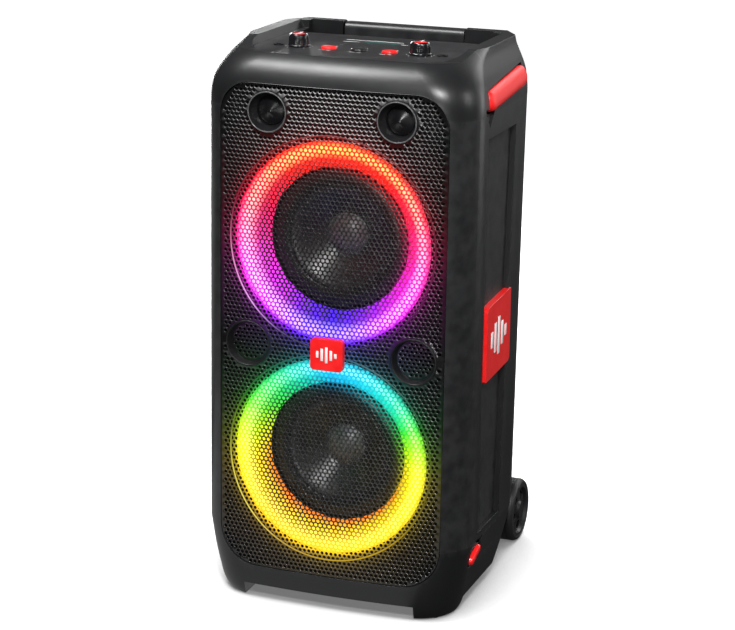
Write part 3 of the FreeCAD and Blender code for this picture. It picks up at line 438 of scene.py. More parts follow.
def finish(obj, material, body="cabinet", slot=None, stands_for=(), sharp=35.0):
    """Shade a new piece, give it its material and hang it on its body."""
    mesh = obj.data
    mesh.materials.append(material)
    for polygon in mesh.polygons:
        polygon.use_smooth = True
    mesh.set_sharp_from_angle(angle=math.radians(sharp))
    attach(obj, body)
    if stands_for:
        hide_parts(*stands_for)
    return obj


def from_bmesh(name, bm):
    bmesh.ops.recalc_face_normals(bm, faces=bm.faces)
    mesh = bpy.data.meshes.new(name)
    bm.to_mesh(mesh)
    bm.free()
    obj = bpy.data.objects.new(name, mesh)
    scene.collection.objects.link(obj)
    return obj


def rounded(points, times=2, closed=False):
    """Chaikin corner cutting; a point given twice stays sharp."""
    points = [Vector(p) for p in points]
    for _ in range(times):
        cut = [] if closed else [points[0]]
        pairs = zip(points, points[1:] + points[:1]) if closed else zip(points, points[1:])
        for a, b in pairs:
            if (b - a).length < 1e-6:
                cut.append(a.copy())
                cut.append(b.copy())
            else:
                cut.append(a.lerp(b, 0.25))
                cut.append(a.lerp(b, 0.75))
        if not closed:
            cut.append(points[-1])
        points = cut
    return [tuple(p) for p in points]


def skin(bm, rings, closed=False):
    """Faces between neighbouring rings of vertices, and with closed from the last to the first."""
    pairs = list(zip(rings, rings[1:]))
    if closed:
        pairs.append((rings[-1], rings[0]))
    count = len(rings[0])
    for a, b in pairs:
        for step in range(count):
            after = (step + 1) % count
            bm.faces.new((a[step], a[after], b[after], b[step]))


def turned_mesh(bm, profile, centre, axis, segments=96, closed=False, wave=None):
    """Turn (radius, along) points in mm about an axis through centre, into bm."""
    axes = {"x": (1, 2, 0), "y": (0, 2, 1), "z": (0, 1, 2)}[axis]
    rings = []
    for radius, along in profile:
        ring = []
        for step in range(segments):
            angle = 2 * math.pi * step / segments
            reach = radius * (wave(angle, along) if wave else 1.0)
            place = [0.0, 0.0, 0.0]
            place[axes[0]] = centre[axes[0]] + reach * math.cos(angle)
            place[axes[1]] = centre[axes[1]] + reach * math.sin(angle)
            place[axes[2]] = centre[axes[2]] + along
            ring.append(bm.verts.new([c * MM for c in place]))
        rings.append(ring)
    skin(bm, rings, closed)
    bmesh.ops.remove_doubles(bm, verts=bm.verts, dist=1e-6)


def turned(name, profile, centre, axis, material, segments=96, closed=False, wave=None,
           mirror=False, **rest):
    """A turned piece, and with mirror its twin on the other side of x = 0."""
    bm = bmesh.new()
    turned_mesh(bm, profile, centre, axis, segments, closed, wave)
    if mirror:
        other = Vector((-centre[0], centre[1], centre[2]))
        turned_mesh(bm, profile, other, axis, segments, closed, wave)
    return finish(from_bmesh(name, bm), material, **rest)


def box_mesh(bm, low, high, bevel=0.0):
    """A block between two corners in mm, its edges rounded by bevel mm."""
    low, high = Vector(low) * MM, Vector(high) * MM
    made = bmesh.ops.create_cube(bm, size=1.0)["verts"]
    size = high - low
    for vert in made:
        vert.co = Vector(((low + high) / 2)[i] + vert.co[i] * size[i] for i in range(3))
    if bevel:
        edges = list({e for v in made for e in v.link_edges})
        bmesh.ops.bevel(bm, geom=edges, offset=bevel * MM, segments=2, profile=0.5, affect="EDGES")


def blocks(name, boxes, material, bevel=0.3, **rest):
    bm = bmesh.new()
    for low, high in boxes:
        box_mesh(bm, low, high, bevel)
    return finish(from_bmesh(name, bm), material, **rest)


# ---- perforated sheet


def circle(centre, radius, count):
    """Regular polygon of count corners."""
    angles = [2 * math.pi * (k + 0.5) / count for k in range(count)]
    return [(centre[0] + radius * math.cos(a), centre[1] + radius * math.sin(a)) for a in angles]


def rounded_outline(low, high, left_right, bottom_radius, top_radius):
    """Closed outline from z low to high in short steps; a corner of no radius stays square."""
    step = 4.0
    points = []
    corners = (
        (left_right, low, bottom_radius, -90), (left_right, high, top_radius, 0),
        (-left_right, high, top_radius, 90), (-left_right, low, bottom_radius, 180),
    )
    for x, z, radius, start in corners:
        if not radius:
            points.append((x, z))
            continue
        cx = x - math.copysign(radius, x)
        cz = z + (radius if z == low else -radius)
        for k in range(13):
            a = math.radians(start + 90 * k / 12)
            points.append((cx + radius * math.cos(a), cz + radius * math.sin(a)))
    dense = []
    for (x0, z0), (x1, z1) in zip(points, points[1:] + points[:1]):
        parts = max(1, round(math.hypot(x1 - x0, z1 - z0) / step))
        for k in range(parts):
            dense.append((x0 + (x1 - x0) * k / parts, z0 + (z1 - z0) * k / parts))
    return dense


def perforated(name, outline, cutouts, holes, place, radius, rim, thickness, **rest):
    """A sheet with round holes whose front edges are rolled by rim mm.

    place(u, v, depth) gives the point in mm for a place on the sheet.
    """
    flat, edges, kinds, loops = [], [], [], []

    def loop(points, kind):
        base = len(flat)
        flat.extend(Vector(p) for p in points)
        count = len(points)
        edges.extend((base + k, base + (k + 1) % count) for k in range(count))
        kinds.extend([len(loops) if kind else -1] * count)
        loops.append((base, count, kind))

    loop(outline, None)
    for cutout in cutouts:
        loop(cutout, "cutout")
    for hole in holes:
        loop(circle(hole, radius + rim, HOLE_SIDES), "hole")
    _, _, triangles, origins, _, _ = delaunay_2d_cdt(flat, edges, [], 0, 1e-6)
    order = [origin[0] for origin in origins]
    kept = []
    for triangle in triangles:
        corners = [order[k] for k in triangle]
        kind = kinds[corners[0]]
        if kind >= 0 and kinds[corners[1]] == kind and kinds[corners[2]] == kind:
            continue
        kept.append(corners)
    count = len(flat)
    points = [place(p[0], p[1], 0.0) for p in flat]
    back = [(p[0], p[1]) for p in flat]
    waist = {}
    for base, size, kind in loops:
        if kind != "hole":
            continue
        centre = sum((flat[base + k] for k in range(size)), Vector((0, 0))) / size
        for k in range(size):
            p = flat[base + k]
            inner = centre + (p - centre) * (radius / (radius + rim))
            back[base + k] = tuple(inner)
            waist[base + k] = inner
    points += [place(u, v, thickness) for u, v in back]
    for index, p in waist.items():
        waist[index] = len(points)
        points.append(place(p[0], p[1], rim))
    faces = [tuple(t) for t in kept]
    faces += [tuple(k + count for k in reversed(t)) for t in kept]
    for base, size, kind in loops:
        for k in range(size):
            a, b = base + k, base + (k + 1) % size
            if kind == "hole":
                faces.append((a, waist[a], waist[b], b))
                faces.append((waist[a], a + count, b + count, waist[b]))
            else:
                faces.append((a, a + count, b + count, b))
    bm = bmesh.new()
    made = [bm.verts.new([c * MM for c in p]) for p in points]
    for face in faces:
        bm.faces.new([made[k] for k in face])
    finish(from_bmesh(name, bm), GRILLE_COAT_AND_PAINTED_GLOW, slot="grille_steel", sharp=60.0, **rest)


def bow(x):
    """How far the sheet falls back x mm off its middle."""
    return BOW_RADIUS - math.sqrt(BOW_RADIUS ** 2 - x * x)


def on_grille(u, v, depth):
    return (u, GRILLE_FRONT + bow(u) + depth, v)


def build_grille():
    """The bowed steel sheet in three panels that meet between hole rows."""
    row = HOLE_PITCH * math.sqrt(3) / 2
    trim, clearance = 0.5, 0.2
    bottom_strip, both_strips = 4.0, 7.0
    left_right = GRILLE_HIGH.x - trim
    low, high = GRILLE_LOW.z + trim, GRILLE_HIGH.z - trim
    bottom_radius, top_radius = 47.6, 39.6
    tweeter_z = middle("tweeter_waveguides").z
    port_z = middle("bass_ports").z
    tweeter_r = half("tweeter_waveguides").z + clearance
    port_r = half("bass_ports").z + clearance
    rounds = []
    for side in (-1, 1):
        rounds.append((side * (TWEETER.x - tweeter_r + clearance), tweeter_z, tweeter_r))
        rounds.append((side * (PORT.x - port_r + clearance), port_z, port_r))
    first = low + bottom_strip
    rows = int((high - low - both_strips) / row)
    cuts = [low] + [first + row * (k + 0.5) for k in (rows // 3, 2 * rows // 3)] + [high]
    margin = HOLE_RADIUS + HOLE_RIM + 2 * clearance

    def inside(x, z):
        if abs(x) > left_right - margin or z < low + margin or z > high - margin:
            return False
        for corner, z0, sign in ((bottom_radius, low, 1), (top_radius, high, -1)):
            cx, cz = left_right - corner, z0 + sign * corner
            if abs(x) > cx and sign * (z - cz) < 0 and math.hypot(abs(x) - cx, z - cz) > corner - margin:
                return False
        return all(math.hypot(x - cx, z - cz) > r + margin for cx, cz, r in rounds)

    names = ("grille_lower", "grille_middle", "grille_upper")
    for index, name in enumerate(names):
        start, end = cuts[index], cuts[index + 1]
        holes = []
        for k in range(rows + 1):
            z = first + row * k
            if not start < z < end:
                continue
            x = -left_right - (k % 2) * HOLE_PITCH / 2
            while x < left_right:
                if inside(x, z):
                    holes.append((x, z))
                x += HOLE_PITCH
        outline = rounded_outline(start, end, left_right, bottom_radius if index == 0 else 0,
                                  top_radius if index == 2 else 0)
        cutouts = [circle((cx, cz), r, 64) for cx, cz, r in rounds if start < cz < end]
        perforated(name, outline, cutouts, holes, on_grille, HOLE_RADIUS, HOLE_RIM, SHEET_THICKNESS,
                   stands_for=("grille",))


build_grille()


# ---- light rings


def build_ring(name):
    """The light guide, a shallow cone that leads from the sheet down to the woofer."""
    low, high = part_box(name + "_light_ring")
    centre = Vector((0.0, low.y / MM, RING_CENTRES[name].z))
    depth = (high.y - low.y) / MM
    profile = [(118.6, 4.0), (118.6, 0.6), (118.0, 0.0)]
    profile += rounded([(116.5, -0.2), (112.5, 0.8), (100.0, 11.0), (90.0, 19.0),
                        (85.6, 22.6), (85.0, 24.0)], 2)
    profile += [(85.0, depth), (87.0, depth), (112.0, 4.0)]
    turned(name + "_glow_ring", profile, centre, "y", light_guide(name), segments=160, closed=True,
           slot="light_guide", stands_for=(name + "_light_ring",)).visible_glossy = False
    bm = bmesh.new()
    segments = 240
    rings = []
    bead = ((124.9, 0.1), (125.2, -0.35), (125.8, -0.6), (126.4, -0.35), (126.7, 0.1), (125.8, 0.4))
    for radius, rise in bead:
        ring = []
        for step in range(segments):
            a = 2 * math.pi * step / segments
            x, z = radius * math.cos(a), centre.z + radius * math.sin(a)
            ring.append(bm.verts.new((x * MM, (GRILLE_FRONT + bow(x) + rise) * MM, z * MM)))
        rings.append(ring)
    skin(bm, rings, closed=True)
    finish(from_bmesh(name + "_bead", bm), bead_coat_and_painted_glow(name), slot="grille_steel")


for ring_name in ("upper", "lower"):
    build_ring(ring_name)


# ---- woofers


def build_woofer(name):
    """Cone, dust cap and half-roll surround."""
    centre = Vector((0.0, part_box(name + "_surround")[0].y / MM - 5.4, RING_CENTRES[name].z))
    cone = rounded([(24.0, 33.5), (30.0, 29.0), (42.0, 20.0), (54.0, 11.5), (58.5, 8.9), (61.9, 8.1)], 2)
    cone += [(61.9, 9.9)] + rounded([(54.0, 13.5), (42.0, 22.0), (22.0, 39.0), (19.5, 39.0)], 1)
    turned(name + "_cone_body", cone, centre, "y", CONE, body=name + "_cone", slot="cone_pulp",
           stands_for=(name + "_cone",))
    cap = rounded([(0.0, 20.5), (9.0, 21.0), (17.0, 24.5), (23.0, 30.5), (25.5, 33.0), (26.5, 32.2)], 2)
    cap += [(26.0, 33.6), (19.5, 36.0), (12.0, 27.0), (0.0, 25.0)]
    turned(name + "_dust_cap", cap, centre, "y", CAP, body=name + "_cone", slot="cone_pulp")
    roll = rounded([
        (62.4, 7.6), (63.0, 6.6), (65.0, 5.6), (69.5, 4.6), (74.0, 5.6), (76.0, 7.6), (77.0, 8.6),
        (80.0, 8.8), (81.0, 9.4), (81.0, 10.2), (76.0, 10.2), (73.0, 8.4), (69.5, 6.4), (65.5, 8.0),
    ], 2, closed=True)
    turned(name + "_roll_surround", roll, centre, "y", SURROUND, closed=True, slot="surround_rubber",
           stands_for=(name + "_surround",))


for woofer_name in ("upper", "lower"):
    build_woofer(woofer_name)


def build_tweeters():
    """Waveguide dishes with rims in a lighter grey that paints their highlight, and the cones inside them.
    """
    at = Vector((TWEETER.x - half("tweeter_waveguides").z, GRILLE_FRONT, middle("tweeter_waveguides").z))
    dish = [(23.8, 14.0), (23.8, 0.9), (23.5, 0.3), (22.9, 0.1), (22.3, 0.4), (22.2, 1.2)]
    dish += rounded([(22.0, 2.0), (20.4, 7.0), (18.4, 11.0), (17.6, 12.6), (17.5, 14.0)], 2)
    dish += [(17.5, 26.0), (20.0, 26.0), (20.0, 14.0)]
    turned("tweeter_dishes", dish, at, "y", SATIN_BLACK, closed=True, mirror=True, slot="black_gloss",
           stands_for=("tweeter_waveguides",))
    # rims in the lighter grey, a painted highlight
    rim = rounded([(22.3, 0.6), (22.3, -0.1), (22.7, -0.5), (23.3, -0.5), (23.7, -0.1), (23.7, 0.6)],
                  1, closed=True)
    turned("tweeter_rims", rim, at, "y", RIM_HIGHLIGHT_GREY, closed=True, mirror=True, slot="black_gloss")
    plug = rounded([(0.0, 7.0), (1.2, 7.2), (6.0, 9.6), (12.0, 12.4), (16.6, 14.4), (17.3, 15.2)], 1)
    plug += [(17.3, 26.0), (24.0, 26.0), (24.0, 44.0), (0.0, 44.0)]
    turned("tweeter_cones", plug, at, "y", BLACK_GLOSS, mirror=True, slot="basket_steel",
           stands_for=("tweeter_drivers",))


build_tweeters()


def build_ports():
    """Flared port tubes with a perforated disc across each."""
    low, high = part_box("bass_ports")
    radius = half("bass_ports").z
    at = Vector((PORT.x - radius, GRILLE_FRONT, middle("bass_ports").z))
    length = (high.y - low.y) / MM + 2.8
    bore, mesh_depth = radius - 4.0, 13.0
    tube = [(radius, 14.0), (radius, 3.4), (radius - 0.3, 2.9), (radius - 0.9, 2.8), (radius - 1.3, 3.1)]
    tube += rounded([(radius - 1.6, 4.0), (radius - 2.6, 7.5), (radius - 3.8, 10.5),
                     (bore, mesh_depth)], 2)
    tube += [(bore, length), (radius - 2.0, length), (radius - 2.0, 14.0)]
    turned("port_flares", tube, at, "y", PANEL, closed=True, mirror=True, slot="baffle_plastic",
           stands_for=("bass_ports",))
    holes = []
    pitch_u, pitch_v = 5.6, 4.6
    for row in range(-5, 6):
        for column in range(-4, 5):
            u, v = column * pitch_u + (row % 2) * pitch_u / 2, row * pitch_v
            if math.hypot(u, v) < bore - 2.6:
                holes.append((u, v))
    for side, label in ((-1, "left"), (1, "right")):
        perforated(label + "_port_mesh", circle((0, 0), bore - 0.1, 64), [], holes,
                   lambda u, v, d, s=side: (s * at.x + u, GRILLE_FRONT + mesh_depth + d, at.z + v),
                   radius=1.75, rim=0.25, thickness=1.0, stands_for=("port_meshes",))


build_ports()


# ---- controls


def build_knob(name):
    """A fluted knob with a red inlay and a pointer."""
    centre = middle(name)
    centre.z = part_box(name)[0].z / MM
    radius = 12.0

    def flutes(angle, along):
        return 1.0 + (0.04 * math.cos(12 * angle) if 2.5 < along < 13.4 else 0.0)

    body = [(0.0, 0.0), (12.4, 0.0), (12.8, 0.4), (12.8, 1.8), (12.4, 2.2)]
    body += [(radius, 2.6), (radius, 3.2), (11.8, 6.0), (11.6, 9.5), (11.3, 12.4), (10.9, 13.6)]
    body += rounded([(10.4, 14.4), (9.6, 15.0), (8.6, 14.9), (8.3, 14.2), (8.3, 13.8)], 2) + [(0.0, 13.8)]
    turned(name + "_cap", body, centre, "z", BLACK_GLOSS, wave=flutes, body=name, slot="black_gloss",
           stands_for=(name,))
    inlay = [(0.0, 13.7), (7.9, 13.7), (7.9, 14.1), (7.6, 14.4)]
    inlay += rounded([(6.0, 14.5), (3.0, 14.7), (0.0, 14.8)], 1)
    turned(name + "_inlay", inlay, centre, "z", RED_GLOSS, body=name, slot="red_gloss")
    low = Vector((centre.x - 0.7, centre.y + 3.2, centre.z + 14.3))
    blocks(name + "_pointer", [(low, low + Vector((1.4, 8.6, 0.7)))], WHITE_INK, bevel=0.25, body=name,
           slot="black_gloss")


def build_button(name, material, slot):
    centre = middle(name)
    centre.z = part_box(name)[0].z / MM
    radius = half(name).x
    cap = [(0.0, 0.0), (radius - 0.2, 0.0), (radius, 0.3), (radius, 2.3)]
    cap += rounded([(radius - 0.3, 3.0), (radius - 1.4, 3.5), (radius * 0.5, 3.9), (0.0, 4.0)], 2)
    turned(name + "_cap", cap, centre, "z", material, body=name, slot=slot, stands_for=(name,))


def build_panel_marks():
    """Printed ticks round the knobs and dashes by the buttons."""
    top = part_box("control_panel")[1].z / MM
    row = middle("middle_button").y
    bm = bmesh.new()

    def dash(x, y, length, width=0.7):
        box_mesh(bm, (x - length / 2, y - width / 2, top - 0.1),
                 (x + length / 2, y + width / 2, top + 0.12))

    for name in ("left_knob", "right_knob"):
        centre = middle(name)
        for step in range(9):
            a = math.radians(-140 + 35 * step)
            dash(centre.x + 15.6 * math.sin(a), centre.y + 15.6 * math.cos(a), 1.1, 1.1)
    for name in ("left_button", "middle_button", "right_button"):
        x = middle(name).x
        dash(x - 4, row - 14.5, 7, 0.8)
        dash(x + 4.5, row - 14.5, 5, 0.8)
        dash(x, row + 15, 9, 0.8)
        dash(x - 2, row + 18, 13, 0.8)
    low, high = box_corners("display_window")
    dash((low.x + high.x) / 2 - 12, high.y + 4.5, high.x - low.x + 30, 1.0)
    dash(low.x - 16, low.y + 2.0, 20, 0.8)
    dash(high.x + 9, low.y + 2.0, 8, 0.8)
    finish(from_bmesh("panel_marks", bm), WHITE_INK, slot="panel_plastic")


for knob_name in ("left_knob", "right_knob"):
    build_knob(knob_name)
build_button("left_button", RED_GLOSS, "red_gloss")
build_button("right_button", RED_GLOSS, "red_gloss")
build_button("middle_button", BLACK_GLOSS, "black_gloss")
build_panel_marks()


# ---- badges


def bar_mark(name, origin, along, out, height, width):
    """Five upright level bars, a plain sound mark, on a badge's face."""
    bm = bmesh.new()
    up = Vector((0, 0, 1))
    for index, share in enumerate((0.42, 0.78, 1.0, 0.62, 0.3)):
        bar = bmesh.new()
        reach = height * share
        box_mesh(bar, (-width / 2, -0.3, -reach / 2), (width / 2, 0.4, reach / 2), 0.35)
        shift = Vector(origin) + Vector(along) * (index - 2) * width * 1.75
        turn = Matrix((Vector(along), Vector(out), up)).transposed().to_4x4()
        bar.transform(Matrix.Translation(shift * MM) @ turn)
        mesh = bpy.data.meshes.new("bar")
        bar.to_mesh(mesh)
        bar.free()
        bm.from_mesh(mesh)
        bpy.data.meshes.remove(mesh)
    finish(from_bmesh(name, bm), WHITE_INK, slot="red_gloss")


def build_badges():
    front = middle("front_badge")
    front.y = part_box("front_badge")[0].y / MM
    bar_mark("front_mark", front, (1, 0, 0), (0, -1, 0), 19.0, 3.2)
    side = middle("side_badges")
    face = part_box("side_badges")[1].x / MM
    for sign, label in ((-1, "left"), (1, "right")):
        place = (sign * face, side.y, side.z)
        bar_mark(label + "_mark", place, (0, sign, 0), (sign, 0, 0), 46.0, 7.6)


build_badges()


# ---- bumpers


def stadium(length, height, radius):
    """Rounded rectangle (u, v) about the origin."""
    steps = 10
    points = []
    for cx, cy, start in ((1, 1, 0), (-1, 1, 90), (-1, -1, 180), (1, -1, 270)):
        for k in range(steps + 1):
            a = math.radians(start + 90 * k / steps)
            points.append((cx * (length / 2 - radius) + radius * math.cos(a),
                           cy * (height / 2 - radius) + radius * math.sin(a)))
    return points


def pad_mesh(bm, length, height, radius, layers, matrix, ridge=0.0):
    """A cushion-like plate built from inset outlines: layers are (out, inset) in mm."""
    rings = []
    for out, inset in layers:
        ring = []
        for u, v in stadium(length - 2 * inset, height - 2 * inset, max(0.6, radius - inset)):
            ring.append(bm.verts.new(matrix @ Vector((out - ridge * abs(v), u, v)) * MM))
        rings.append(ring)
    skin(bm, rings)
    # strips across both ends, so a ridge along the middle stays crisp
    for order in (rings[0][::-1], rings[-1]):
        last = len(order) - 1
        for k in range(len(order) // 2 - 1):
            bm.faces.new((order[k], order[k + 1], order[last - 1 - k], order[last - k]))
    bmesh.ops.remove_doubles(bm, verts=bm.verts, dist=1e-6)


def build_bumpers():
    """Long red pads with end plugs near the top, small framed pads near the feet."""
    sides = (Matrix.Identity(4), Matrix.Diagonal((-1, 1, 1, 1)))
    low, high = box_corners("top_bumpers")
    origin = Vector((high.x - 10.6, (low.y + high.y) / 2, (low.z + high.z) / 2 + 0.6))
    pad = [(-9.0, 0.0), (2.0, 0.0), (5.4, 0.3), (7.4, 1.4), (8.7, 3.4), (9.5, 6.2), (9.8, 9.0)]
    plug = [(-2.0, 0.0), (0.6, 0.0), (0.7, 0.4), (-0.4, 0.8), (-0.6, 1.2)]
    lean = Matrix.Rotation(math.radians(5), 4, "X") @ Matrix.Rotation(math.radians(-14), 4, "Y")
    front_end = Matrix.Translation((6.1, -64.5, -4.0))
    pads, plugs = bmesh.new(), bmesh.new()
    for flip in sides:
        place = flip @ Matrix.Translation(origin) @ lean
        pad_mesh(pads, 140.0, 25.0, 10.5, pad, place, ridge=0.1)
        pad_mesh(plugs, 5.2, 6.4, 2.5, plug, place @ front_end)
    finish(from_bmesh("side_bumper_pads", pads), RED_SATIN, slot="red_plastic",
           stands_for=("top_bumpers",), sharp=50.0)
    finish(from_bmesh("bumper_end_plugs", plugs), RED_GLOSS, slot="red_plastic")

    low, high = box_corners("lower_bumpers")
    origin = Vector((high.x - 4.0, (low.y + high.y) / 2, (low.z + high.z) / 2))
    pad = [(-8.0, 0.0), (1.6, 0.0), (3.0, 0.5), (3.9, 1.6), (4.3, 3.2)]
    surround = [(-12.0, 0.0), (-0.6, 0.0), (0.0, 0.5), (-1.0, 1.4), (-1.4, 2.0)]
    slope = Matrix.Rotation(math.radians(9), 4, "Y")
    turn = Matrix.Rotation(math.radians(27), 4, "X")
    pads, frames = bmesh.new(), bmesh.new()
    for flip in sides:
        place = flip @ Matrix.Translation(origin) @ slope
        pad_mesh(pads, 31.0, 11.0, 5.4, pad, place @ turn)
        pad_mesh(frames, 31.6, 23.6, 6.0, surround, place)
    finish(from_bmesh("foot_bumper_pads", pads), RED_GLOSS, slot="red_plastic",
           stands_for=("lower_bumpers",))
    finish(from_bmesh("foot_bumper_frames", frames), SATIN_BLACK, slot="shell_plastic")


build_bumpers()


# ---- rear


def build_rear():
    """Ribs and a latch on the battery door, a raised pad and a pull tab on the socket cover."""
    low, high = box_corners("battery_door")
    ribs = []
    for step in range(9):
        z = low.z + 22.0 + 5.0 * step
        ribs.append(((-24.0, high.y - 0.6, z), (24.0, high.y + 1.0, z + 2.2)))
    blocks("door_ribs", ribs, PANEL, bevel=0.5, slot="shell_plastic")
    latch = [((-13.0, high.y - 0.6, high.z - 17.0), (13.0, high.y + 1.6, high.z - 8.0))]
    blocks("door_latch", latch, RED_SATIN, bevel=1.2, slot="red_plastic")
    low, high = box_corners("io_cover")
    width, height = high.x - low.x, high.z - low.z
    turn = Matrix.Rotation(math.radians(90), 4, "Z")
    place = Matrix.Translation(((low.x + high.x) / 2, high.y, (low.z + high.z) / 2)) @ turn
    bm = bmesh.new()
    pad_mesh(bm, width - 14.0, height - 18.0, 7.0,
             [(-0.6, 0.0), (0.5, 0.0), (0.9, 0.4), (0.9, 1.6), (0.2, 2.2)], place)
    finish(from_bmesh("cover_pad", bm), RUBBER, body="io_cover", slot="rubber")
    middle_x = (low.x + high.x) / 2
    tab = [((middle_x - 16.0, high.y - 0.4, low.z + 1.6), (middle_x + 16.0, high.y + 3.0, low.z + 6.4))]
    blocks("cover_pull_tab", tab, RUBBER, bevel=1.1, body="io_cover", slot="rubber")


build_rear()


# ---- wheels


def build_tyre(side):
    low, high = box_corners(side + "_tyre")
    centre = Vector((low.x, (low.y + high.y) / 2, (low.z + high.z) / 2))
    wide = high.x - low.x
    outer = (high.z - low.z) / 2
    tyre = rounded([(outer - 6.3, 0.8), (outer - 5.5, 0.0), (outer - 3.2, 0.3), (outer - 1.2, 2.2),
                    (outer, 5.0), (outer, 7.0)], 2)
    for groove in (8.5, wide - 10.1):
        tyre += [(outer, groove), (outer - 0.9, groove + 0.3), (outer - 0.9, groove + 1.3),
                 (outer, groove + 1.6)]
    tyre += rounded([(outer, wide - 7.0), (outer, wide - 5.0), (outer - 1.2, wide - 2.2),
                     (outer - 3.2, wide - 0.3), (outer - 5.5, wide), (outer - 6.3, wide - 0.8)], 2)
    turned(side + "_tread", tyre, centre, "x", TYRE, segments=128, closed=True, body=side + "_wheel",
           slot="tyre_rubber", stands_for=(side + "_tyre",))


for wheel_side in ("left", "right"):
    build_tyre(wheel_side)


# ---- CAD nodes' materials

MATERIALS = {
    "shell_plastic": SHELL, "panel_plastic": PANEL, "textured_plastic": INSET, "red_plastic": RED_SATIN,
    "red_gloss": RED_GLOSS, "black_gloss": BLACK_GLOSS, "grille_steel": GRILLE_COAT_AND_PAINTED_GLOW,
    "light_guide": WHITE_INK, "circuit_board": BOARD, "baffle_plastic": BAFFLE, "basket_steel": BASKET,
    "cone_pulp": CONE, "surround_rubber": SURROUND, "spider_cloth": CLOTH, "coil_former": FORMER,
    "magnet_iron": IRON, "tube_aluminium": ANODISED, "rubber": RUBBER, "tyre_rubber": TYRE,
    "steel": STEEL, "black_steel": BLACK_STEEL, "display_glass": DISPLAY, "battery_wrap": WRAP,
    "chrome": STEEL,
}


def paint_nodes():
    """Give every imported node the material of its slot."""
    for part in frame["record"]["subparts"]:
        node = frame["nodes"][part["node"]]
        node.data.materials.clear()
        node.data.materials.append(MATERIALS[part["material_slot"]])
        for polygon in node.data.polygons:
            polygon.material_index = 0


paint_nodes()


def soften_seams():
    """Small real chamfers along the shell's sharp edges, so its seams read as grooves."""
    shells = (
        "bottom_cap", "right_pillar", "left_pillar", "top_bezel", "top_shell", "right_side_panel",
        "left_side_panel", "side_insets", "rear_cabinet", "battery_door", "control_panel",
        "handle_grip", "side_badges", "front_badge", "release_button", "io_panel", "io_cover",
    )
    for name in shells:
        edge = frame["nodes"][name].modifiers.new("seam", "BEVEL")
        edge.width = SEAM_WIDTH * MM
        edge.segments = 2
        edge.limit_method = "ANGLE"
        edge.angle_limit = math.radians(SEAM_ANGLE)
        edge.use_clamp_overlap = True


soften_seams()


# ---- camera, light, floor


def set_camera():
    """A long lens from the front right, a little above and slightly rolled; metres and degrees."""
    azimuth, elevation, roll = (math.radians(v) for v in (19.94, 15.35, 0.89))
    distance = 2.8466
    target = Vector((-0.00702, -0.024, 0.32609))
    back = Vector((math.sin(azimuth) * math.cos(elevation), -math.cos(azimuth) * math.cos(elevation),
                   math.sin(elevation)))
    right = (-back).cross(Vector((0, 0, 1))).normalized()
    up = right.cross(-back)
    turned_right = right * math.cos(roll) + up * math.sin(roll)
    turned_up = up * math.cos(roll) - right * math.sin(roll)
    data = bpy.data.cameras.new("camera")
    data.sensor_width = 36.0
    data.lens = 114.575
    data.clip_start = 0.1
    camera = bpy.data.objects.new("camera", data)
    matrix = Matrix((turned_right, turned_up, back)).transposed().to_4x4()
    matrix.translation = target + back * distance
    camera.matrix_world = matrix
    scene.collection.objects.link(camera)
    scene.camera = camera


def area_light(name, place, target, size, power):
    data = bpy.data.lights.new(name, "AREA")
    data.shape = "RECTANGLE"
    data.size, data.size_y = size
    data.energy = power
    lamp = bpy.data.objects.new(name, data)
    lamp.location = place
    lamp.rotation_euler = (Vector(target) - Vector(place)).to_track_quat("-Z", "Y").to_euler()
    scene.collection.objects.link(lamp)


def white_glow(name, strength):
    """A black surface that only glows white."""
    shader = Shader(name, (0.0, 0.0, 0.0), 1.0, Specular_IOR_Level=0.0)
    shader.set("Emission Color", (1.0, 1.0, 1.0, 1.0))
    shader.set("Emission Strength", strength)
    return shader.material


def lay_floor():
    """White floor with a painted contact shadow where the object shelters it, its glow brighter further
    away.
    """
    bm = bmesh.new()
    corners = [bm.verts.new(p) for p in ((-30, -30, 0), (30, -30, 0), (30, 30, 0), (-30, 30, 0))]
    bm.faces.new(corners)
    floor = from_bmesh("floor", bm)
    shader = Shader("floor_white", (0.9, 0.9, 0.9), 0.9, Specular_IOR_Level=0.0)
    shader.feed("Roughness", shader.spread(shader.noise(3.0), 0.88, 0.95))
    # painted shadow: ambient occlusion darkens the floor's colour near the object
    painted_shadow_ao = shader.nodes.new("ShaderNodeAmbientOcclusion")
    painted_shadow_ao.samples = 16
    painted_shadow_ao.inputs["Distance"].default_value = 0.16
    clear_of_painted_shadow = shader.spread(painted_shadow_ao.outputs["AO"], 0.25, 1.0, 0.3, 0.9)
    shader.feed("Base Color", shader.ramp(clear_of_painted_shadow, [(0.25, grey(0.2)), (1.0, grey(0.9))]))
    # the glow is painted dimmer near the object and in the painted shadow, brighter further out
    reach = shader.nodes.new("ShaderNodeVectorMath")
    reach.operation = "LENGTH"
    shader.join(shader.place, reach.inputs[0])
    outward = shader.spread(reach.outputs["Value"], 0.65, 1.0, 0.35, 1.3)
    far = shader.math("MULTIPLY", outward, clear_of_painted_shadow)
    shader.feed("Emission Color", shader.ramp(far, [(0.0, grey(0.0)), (1.0, grey(1.0))]))
    shader.set("Emission Strength", 1.0)
    floor.data.materials.append(shader.material)
    return floor


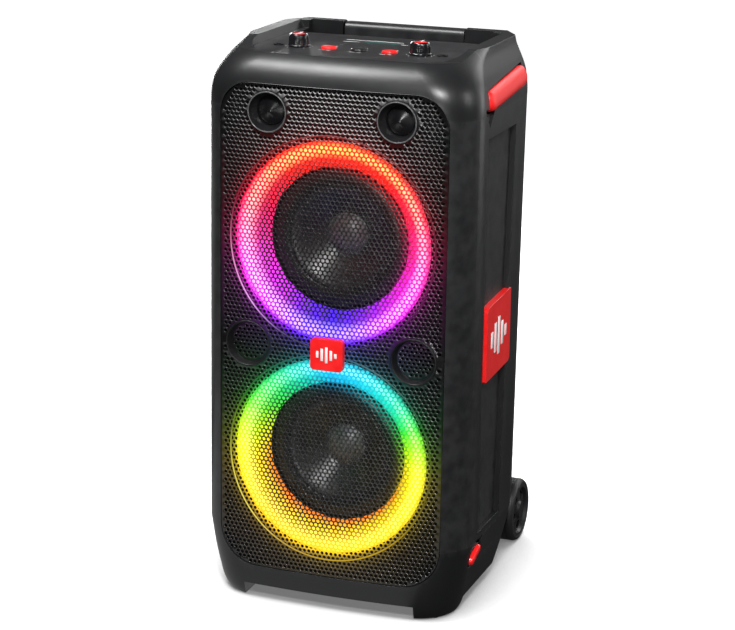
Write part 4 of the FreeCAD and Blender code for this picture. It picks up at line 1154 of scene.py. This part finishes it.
def hang_backdrop():
    """White all round, seen by the camera but casting nothing."""
    bm = bmesh.new()
    bmesh.ops.create_uvsphere(bm, u_segments=64, v_segments=32, radius=28.0)
    backdrop = from_bmesh("backdrop", bm)
    backdrop.data.materials.append(white_glow("backdrop_white", 1.0))
    backdrop.visible_shadow = False
    return backdrop


def lay_card():
    """Pale floor that only reflections see, in front of the feet and behind the left side."""
    bm = bmesh.new()
    for left, right, front, rear in ((-1.1, 0.1, -0.6, 0.1), (-2.4, -0.4, 0.4, 2.6)):
        around = ((left, front), (right, front), (right, rear), (left, rear))
        bm.faces.new([bm.verts.new((x, y, 0.002)) for x, y in around])
    card = from_bmesh("floor_card", bm)
    card.data.materials.append(white_glow("card_white", 0.6))
    card.visible_camera = False
    card.visible_diffuse = False
    card.visible_shadow = False


def set_stage():
    floor = lay_floor()
    backdrop = hang_backdrop()
    lay_card()
    for item in (floor, backdrop):
        item.visible_diffuse = False
        item.visible_glossy = False
    world = bpy.data.worlds.new("studio")
    world.use_nodes = True
    background = world.node_tree.nodes["Background"]
    background.inputs["Color"].default_value = (1.0, 1.0, 1.0, 1.0)
    background.inputs["Strength"].default_value = 0.05
    scene.world = world
    area_light("overhead", (-0.46, -0.37, 1.75), (-0.02, -0.12, 0.64), (0.6, 0.45), 22.0)
    area_light("key", (0.9, -2.3, 2.3), (0.0, -0.15, 0.4), (0.5, 0.5), 92.0)
    area_light("left_edge", (-1.2, 1.7, 0.45), (-0.1, 0.0, 0.35), (0.8, 0.8), 40.0)
    area_light("right", (2.5, -0.1, 1.5), (0.1, 0.0, 0.35), (0.5, 1.0), 15.0)
    area_light("right_edge", (1.9, 1.9, 0.8), (0.1, 0.0, 0.35), (0.6, 1.4), 13.0)
    area_light("front_strip", (0.62, -2.2, 0.35), (0.1, -0.15, 0.35), (0.1, 0.7), 9.0)
    area_light("back", (0.8, 2.4, 1.8), (0.0, 0.0, 0.5), (1.6, 1.0), 24.0)
    area_light("top_sheen", (-0.7, 2.4, 1.3), (0.0, 0.0, 0.64), (1.6, 1.2), 0.25)
    scene.view_settings.view_transform = "Standard"


set_camera()
set_stage()
